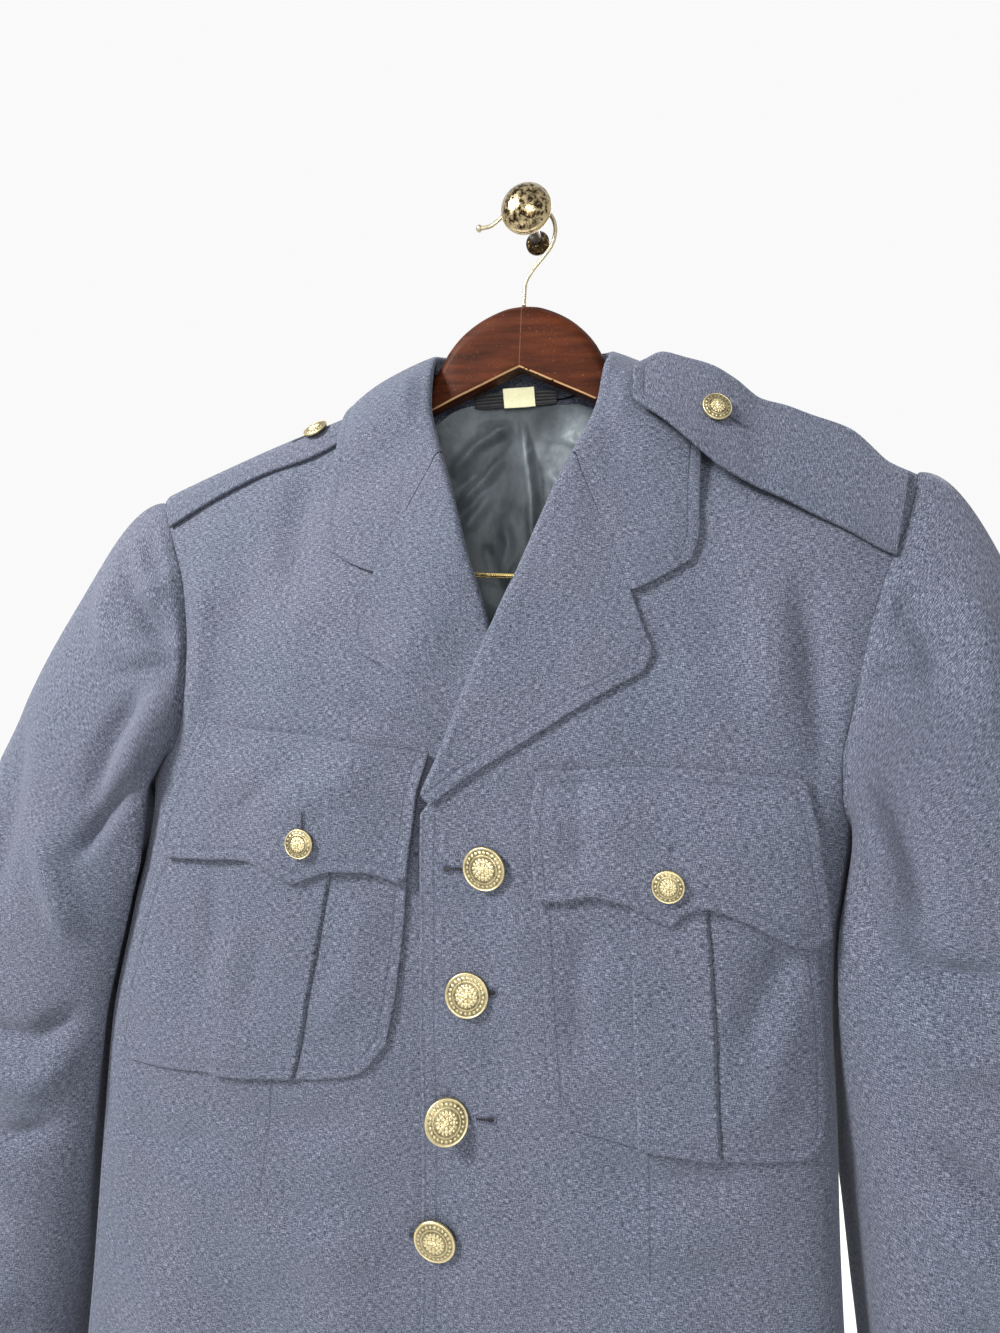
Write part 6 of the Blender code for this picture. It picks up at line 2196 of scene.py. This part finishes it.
@dataclass(frozen=True)
class Button:
    """A domed brass button with a raised rim, a ring of beads and a plain petalled middle."""

    name: str
    radius: float
    beads: int
    petals: int = 8
    dome: float = 3.65
    around: int = 144

    def relief(self, r: Grid, angle: Grid) -> tuple[Grid, Grid]:
        """Works out the face's height and how worn it is.

        Args:
            r: Share of the radius.
            angle: Place round the middle.

        Returns:
            Height in millimetres, and 0 in hollows to 1 on high places.
        """
        scale = self.radius / BIG_RADIUS
        dome = self.dome - 1.5 * r**2.2
        rim = 0.5 * np.exp(-(((r - 0.95) / 0.035) ** 2))
        rope = 0.10 * np.exp(-(((r - 0.885) / 0.02) ** 2))
        turn = angle * self.beads / (2 * math.pi)
        off = (turn - np.round(turn)) * 2 * math.pi / self.beads * 0.765
        bead = 0.42 * np.exp(-((off / 0.042) ** 2) - (((r - 0.765) / 0.042) ** 2))
        ring = 0.22 * np.exp(-(((r - 0.62) / 0.016) ** 2))
        petal = np.abs(np.cos(angle * self.petals / 2))
        flower = 0.45 * ease(petal * 0.36 + 0.16 - r, 0.0, 0.06) * (0.65 + 0.35 * np.cos(r * 42 + petal * 5))
        leaf = 0.3 * ease(0.5 - r, 0.0, 0.03) * ease(np.abs(np.sin(angle * self.petals / 2)) - 0.8, 0.0, 0.15)
        leaf = leaf * ease(r - 0.3, 0.0, 0.05)
        boss = 0.55 * ease(0.13 - r, 0.0, 0.05)
        grain = 0.05 * np.sin(angle * 61 + r * 90) * np.sin(r * 130 - angle * 23)
        high = rim + rope + bead + ring + flower + leaf + boss
        worn = np.clip(0.12 + high * 2.1 + grain * 2, 0, 1)
        return dome + (high + grain * ease(0.88 - r, 0, 0.03)) * scale, worn

    def build(self, finishes: Finishes, centre: Grid, normal: Grid, turn: float = 0.0,
              tip: float = 0.0) -> None:
        """Makes the button, in place of its plain solid.

        Args:
            finishes: The jacket's materials.
            centre: Middle of its back.
            normal: Away from the cloth.
            turn: Turn about the upright axis in degrees.
            tip: Turn about the level axis in degrees.
        """
        normal = unit(normal)
        level = unit(np.cross(normal, [0, 0, 1.0]))
        up = np.cross(level, normal)
        a, b = math.radians(turn), math.radians(tip)
        normal = unit(normal * math.cos(a) * math.cos(b) + level * math.sin(a) + up * math.sin(b))
        level = unit(np.cross(normal, [0, 0, 1.0]))
        up = np.cross(level, normal)
        angle = 2 * math.pi * np.arange(self.around) / self.around
        circle = level * np.cos(angle)[:, None] + up * np.sin(angle)[:, None]
        shares = np.concatenate([np.linspace(0.03, 0.86, 34), np.linspace(0.88, 0.975, 8)])
        profile = [(0.4, 0.0), (0.84, 0.6), (0.96, 1.0), (1.0, 1.6), (0.995, 2.1)]
        rings, worn = [], []
        for share, height in profile:
            rings.append(centre + normal * height + self.radius * share * circle)
            worn.append(np.full(self.around, 0.5))
        for share in shares[::-1]:
            height, high = self.relief(np.full(self.around, share), angle)
            rings.append(centre + normal * height[:, None] + self.radius * share * circle)
            worn.append(high)
        crown = centre + normal * (self.dome + 0.5 * self.radius / BIG_RADIUS)
        points = np.concatenate([centre[None]] + rings + [crown[None]])
        faces = grid_faces(len(rings), self.around, True, 1)
        last = len(points) - 1
        for k in range(self.around):
            n = (k + 1) % self.around
            faces += [(0, 1 + k, 1 + n), (last, last - self.around + n, last - self.around + k)]
        if np.dot(np.cross(up, level), normal) < 0:
            faces = [tuple(reversed(face)) for face in faces]
        stored = {"relief": np.concatenate([[0.4], np.concatenate(worn), [0.9]])}
        stand_in(self.name + "_brass", points, faces, finishes.button, self.name, stored)


@dataclass
class Buttons:
    """All the buttons and the front's buttonholes."""

    trunk: Trunk
    finishes: Finishes
    straps: Straps
    shank: float = 1.5
    strap_shank: float = 1.65
    big_beads: int = 24
    small_beads: int = 18

    def build(self) -> None:
        """Makes the front, pocket and strap buttons, then the front's buttonholes."""
        for number, (x, z, turn, tip) in enumerate(FRONT_BUTTONS, 1):
            spot, way = (self.trunk.point(x, z, Side.RIGHT, lift=lift) for lift in (0.0, 1.0))
            lean = math.sin(math.radians(math.hypot(turn, tip)))
            reach = self.shank + max(0.0, 0.86 * BIG_RADIUS * lean - 0.7)
            button = Button(f"front_button_{number}", BIG_RADIUS, self.big_beads)
            button.build(self.finishes, spot + (way - spot) * reach, way - spot, turn, tip)
        for side in Side:
            x, z = FLAP_BUTTONS[side.value]
            spot, way = (self.trunk.point(x, z, side, lift=lift) for lift in (7.0, 8.0))
            button = Button(f"pocket_button_{side.word}", SMALL_RADIUS, self.small_beads)
            button.build(self.finishes, spot + (way - spot) * self.shank, way - spot)
        for side in Side:
            place, way, _ = self.straps.button_place(side)
            button = Button(f"strap_button_{side.word}", SMALL_RADIUS, self.small_beads)
            button.build(self.finishes, place + way * self.strap_shank, way)
        for number, (eyelet_x, end_x, eyelet_z, end_z) in enumerate(FRONT_HOLES, 1):
            start = self.trunk.point(eyelet_x, eyelet_z, Side.RIGHT, lift=1.0)
            end = self.trunk.point(end_x, end_z, Side.RIGHT, lift=1.0)
            x, z = (eyelet_x + end_x) / 2, (eyelet_z + end_z) / 2
            up = self.trunk.point(x, z, Side.RIGHT, lift=1.0) - self.trunk.point(x, z, Side.RIGHT)
            Buttonhole(f"front_hole_{number}", tuple(start), tuple(end), tuple(up)).build(self.finishes)


@dataclass
class Holder:
    """The wall knob, the hanger's hook, its wood and its trouser bar."""

    finishes: Finishes
    wood_half: float = 208.0
    hook_radius: float = 1.2
    bar_radius: float = 1.6
    bar_z: float = 30.0
    bar_half: float = 150.0
    tube_sides: int = 20
    knob_sides: int = 96
    hook_points: int = 130
    bar_points: int = 160

    def ring_faces(self, rings: int, sides: int) -> list[tuple[int, ...]]:
        """Lists the faces of a round body whose end points follow its rings.

        Args:
            rings: How many rings it has.
            sides: Points of each ring.

        Returns:
            Corners of each face, turned outward.
        """
        first, last, base = rings * sides, rings * sides + 1, (rings - 1) * sides
        faces = grid_faces(rings, sides, True)
        faces += [(first, k, (k + 1) % sides) for k in range(sides)]
        faces += [(last, base + (k + 1) % sides, base + k) for k in range(sides)]
        return [tuple(reversed(face)) for face in faces]

    def tube(self, name: str, path: Any, radii: Any, material: bpy.types.Material, node: str) -> None:
        """Makes a round rod along a path.

        Args:
            name: The piece's name.
            path: Its middle line.
            radii: Its radius at each point.
            material: Its finish.
            node: The solid it stands for.
        """
        path, radii = np.array(path, float), np.array(radii, float)
        heading = unit(np.gradient(path, axis=0))
        level = np.array([0.0, 1.0, 0.0])
        over = unit(np.cross(heading, level))
        angle = 2 * math.pi * np.arange(self.tube_sides) / self.tube_sides
        rings = path[:, None] + radii[:, None, None] * (
            level * np.cos(angle)[None, :, None] + over[:, None] * np.sin(angle)[None, :, None])
        points = np.concatenate([rings.reshape(-1, 3), path[:1], path[-1:]])
        faces = self.ring_faces(len(path), self.tube_sides)
        stand_in(name, points, faces, material, node, {"relief": np.full(len(points), 0.7)})

    def knob(self) -> None:
        """Makes the turned knob."""
        plate, stem, ball = KNOB[:5], KNOB[4:9], KNOB[8:]
        outline = np.concatenate([along(plate, np.linspace(0, 1, 24)), along(stem, np.linspace(0.02, 1, 20)),
                                  along(ball, np.linspace(0.03, 1, 34))])
        angle = 2 * math.pi * np.arange(self.knob_sides) / self.knob_sides
        level = np.full(self.knob_sides, 1.0)
        rings = np.stack([np.stack([r * np.cos(angle), y * level, KNOB_Z + r * np.sin(angle)], axis=-1)
                          for r, y in outline])
        points = np.concatenate([rings.reshape(-1, 3), [(0, 36, KNOB_Z)], [(0, -14.75, KNOB_Z)]])
        wear = 0.2 + 0.9 * ease(np.hypot(points[:, 0], points[:, 2] - KNOB_Z), 12.6, 13.8)
        wear = np.where(points[:, 1] > -2.0, -0.6, wear)
        faces = self.ring_faces(len(outline), self.knob_sides)
        stand_in("wall_knob_brass", points, faces, self.finishes.knob, "wall_knob",
                 {"relief": wear})

    def wood(self) -> None:
        """Makes the hanger's body with rounded edges and a painted highlight along its lower front arris."""
        xs = self.wood_half * spaced(90, self.wood_half)
        xs = np.concatenate([-xs[:0:-1], xs])
        ring = [(a, "crown", -abs(a) ** 1.9) for a in np.linspace(-1, 1, 17)]
        wall = [(1.0, "wall", share) for share in (0.8, 0.6, 0.4, 0.2, 0.08)]
        foot = [(1.0, "foot", 2.4), (0.98, "foot", 1.2), (0.9, "foot", 0.35), (0.76, "foot", 0.0)]
        ring += wall + foot + [(-a, kind, up) for a, kind, up in reversed(wall + foot)]
        points, wear = [], []
        for x in xs:
            low, high, half = (float(look_up(WOOD, abs(x), c)) for c in (2, 1, 3))
            low, high = low + WOOD_TILT * x, high + WOOD_TILT * x
            crown = min(4.5 + 5.5 * float(ease(abs(x), 34, 50)), (high - low) * 0.7)
            for across, kind, up in ring:
                top = high - crown
                z = high + crown * up if kind == "crown" else low + up
                if kind == "wall":
                    z = low + 2.4 + (top - low - 2.4) * up
                points.append((x, across * half, z))
                # Painted highlight: the row just above the lower front arris, near the middle, gets the
                # lighter colour
                arris_highlight = float(kind == "foot" and up == 0.35 and across < 0)
                wear.append(arris_highlight * (1.0 - float(ease(abs(x), 40, 64))))
        n = len(ring)
        faces = grid_faces(len(xs), n, True)
        faces += [tuple(reversed(range(n))), tuple(range((len(xs) - 1) * n, len(xs) * n))]
        stand_in("hanger_wood_lacquered", points, faces, self.finishes.wood, "hanger_wood",
                 {"wear": np.array(wear)})

    def hook(self) -> None:
        """Makes the hook of plated wire, with a ball at its tip."""
        path = along([(x, 0.0, z) for x, z in HOOK], np.linspace(0, 1, self.hook_points))
        for _ in range(14):
            path[1:-1] = (path[:-2] + 2.0 * path[1:-1] + path[2:]) / 4.0
        end = unit(path[-1] - path[-2])
        extra = [path[-1] + end * d for d in (0.5, 0.9, 1.5, 2.1, 2.7, 3.2, 3.6, 3.9)]
        radii = [self.hook_radius] * self.hook_points + [1.25, 1.7, 2.1, 2.2, 2.1, 1.75, 1.3, 0.8]
        self.tube("hanger_hook_wire", list(path) + extra, radii, self.finishes.wire, "hanger_hook")

    def bar(self) -> None:
        """Makes the trouser bar, bent up into the wood at both ends."""
        up = float(look_up(WOOD, self.bar_half, 2))
        right, left = up + WOOD_TILT * self.bar_half - 0.8, up - WOOD_TILT * self.bar_half - 0.8
        b, z = self.bar_half, self.bar_z
        path = [(-b, 0, left), (-b, 0, z + 8), (-b + 2.4, 0, z + 2.4), (-b + 8, 0, z), (0, 0, z - 0.4),
                (b - 8, 0, z), (b - 2.4, 0, z + 2.4), (b, 0, z + 8), (b, 0, right)]
        path = along(path, np.linspace(0, 1, self.bar_points))
        self.tube("trouser_bar_rod", path, [self.bar_radius] * self.bar_points, self.finishes.bar,
                  "trouser_bar")

    def build(self) -> None:
        """Makes the knob, the wood, the hook and the bar."""
        self.knob()
        self.wood()
        self.hook()
        self.bar()


@dataclass(frozen=True)
class Studio:
    """The camera at the photograph's place, plain soft light and a pale floor."""

    picture: tuple[float, float] = (1000.0, 1333.0)
    middle: tuple[float, float] = (502.0, 626.0)
    focal_length: float = 778.0
    camera_place: tuple[float, float, float] = (0.0902, -0.4829, -0.242)
    turn: float = 12.0
    roll: float = 2.5
    brightness: float = 0.95
    floor_half: float = 4000.0
    floor_z: float = -1150.0

    def camera(self) -> None:
        """Places the camera."""
        data = bpy.data.cameras.new("photo_camera")
        data.sensor_fit = "VERTICAL"
        data.sensor_height = 36.0
        wide, tall = self.picture
        data.lens = self.focal_length / tall * data.sensor_height
        data.shift_x = -(self.middle[0] - wide / 2) / tall
        data.shift_y = (self.middle[1] - tall / 2) / tall
        data.clip_start, data.clip_end = 0.02, 20.0
        thing = bpy.data.objects.new("photo_camera", data)
        bpy.context.scene.collection.objects.link(thing)
        turn = Matrix.Rotation(math.radians(self.turn), 4, "Z") @ Matrix.Rotation(math.radians(90.0), 4, "X")
        roll = Matrix.Rotation(math.radians(self.roll), 4, "Z")
        thing.matrix_world = Matrix.Translation(self.camera_place) @ turn @ roll
        bpy.context.scene.camera = thing

    def lamp(self, name: str, where: tuple[float, float, float], aim: tuple[float, float, float], size: float,
             power: float, colour: tuple[float, float, float]) -> None:
        """Adds a soft square light.

        Args:
            name: Its name.
            where: Its place.
            aim: What it points at.
            size: Its side.
            power: Its power in watts.
            colour: Its colour.
        """
        data = bpy.data.lights.new(name, "AREA")
        data.size, data.energy, data.color = size, power, colour
        thing = bpy.data.objects.new(name, data)
        bpy.context.scene.collection.objects.link(thing)
        back = unit(np.array(where) - np.array(aim))
        side = unit(np.cross([0, 0, 1.0], back))
        up = np.cross(back, side)
        thing.matrix_world = Matrix(((side[0], up[0], back[0], where[0]), (side[1], up[1], back[1], where[1]),
                                     (side[2], up[2], back[2], where[2]), (0, 0, 0, 1)))

    def build(self) -> None:
        """Sets the camera, lights, world and floor."""
        self.camera()
        self.lamp("key_light", (-1.15, -1.1, 0.72), (0, 0, -0.4), 0.4, 98, (1.0, 0.99, 0.97))
        self.lamp("front_light", (0.3, -1.7, -0.1), (0, 0, -0.2), 0.5, 19, (1.0, 0.99, 0.98))
        self.lamp("fill_light", (1.9, -1.5, -0.2), (0, 0, -0.45), 1.6, 3, (0.9, 0.95, 1.0))
        self.lamp("back_light", (0.4, 2.2, 0.6), (0, 0, -0.4), 1.6, 20, (1.0, 1.0, 1.0))
        world = bpy.data.worlds.new("white_studio")
        world.use_nodes = True
        back = world.node_tree.nodes["Background"]
        back.inputs[0].default_value = (1.0, 1.0, 1.0, 1.0)
        back.inputs[1].default_value = self.brightness
        bpy.context.scene.world = world
        bpy.context.scene.view_settings.view_transform = "Standard"
        points = [(x * self.floor_half, y * self.floor_half, self.floor_z)
                  for x, y in ((-1, -1), (1, -1), (1, 1), (-1, 1))]
        mesh = bpy.data.meshes.new("pale_floor")
        mesh.from_pydata(to_row(points).tolist(), [], [(0, 1, 2, 3)])
        paint = Paint("floor_pale", 0.9)
        cloud = paint.noise(paint.place((2.0, 2.0, 2.0)), 1.0, 2.0)
        paint.feed("Base Color", paint.ramp(cloud, ((0.2, (0.84, 0.84, 0.84)), (0.8, (0.88, 0.88, 0.88)))))
        mesh.materials.append(paint.material)
        floor = bpy.data.objects.new("pale_floor", mesh)
        bpy.context.scene.collection.objects.link(floor)
        floor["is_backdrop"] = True


def corners(box: tuple[Any, Any]) -> list[list[float]]:
    """A box's two corners as plain lists."""
    return [[float(v) for v in corner] for corner in box]


def main(cad_box: list[list[float]]) -> None:
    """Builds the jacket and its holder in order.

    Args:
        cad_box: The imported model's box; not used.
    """
    finishes = Finishes()
    trunk = Trunk()
    Studio().build()
    straps = Straps(trunk, finishes)
    for part in (Bodice(trunk, finishes), Collar(trunk, finishes), BreastPockets(trunk, finishes), straps,
                 Sleeves(trunk, finishes), NeckInside(trunk, finishes), Buttons(trunk, finishes, straps),
                 Holder(finishes)):
        LOG.info("building %s", type(part).__name__)
        part.build()


if __name__ == "__main__":
    logging.basicConfig(level=logging.INFO, format="%(name)s: %(message)s")
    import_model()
    main(corners(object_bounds()))
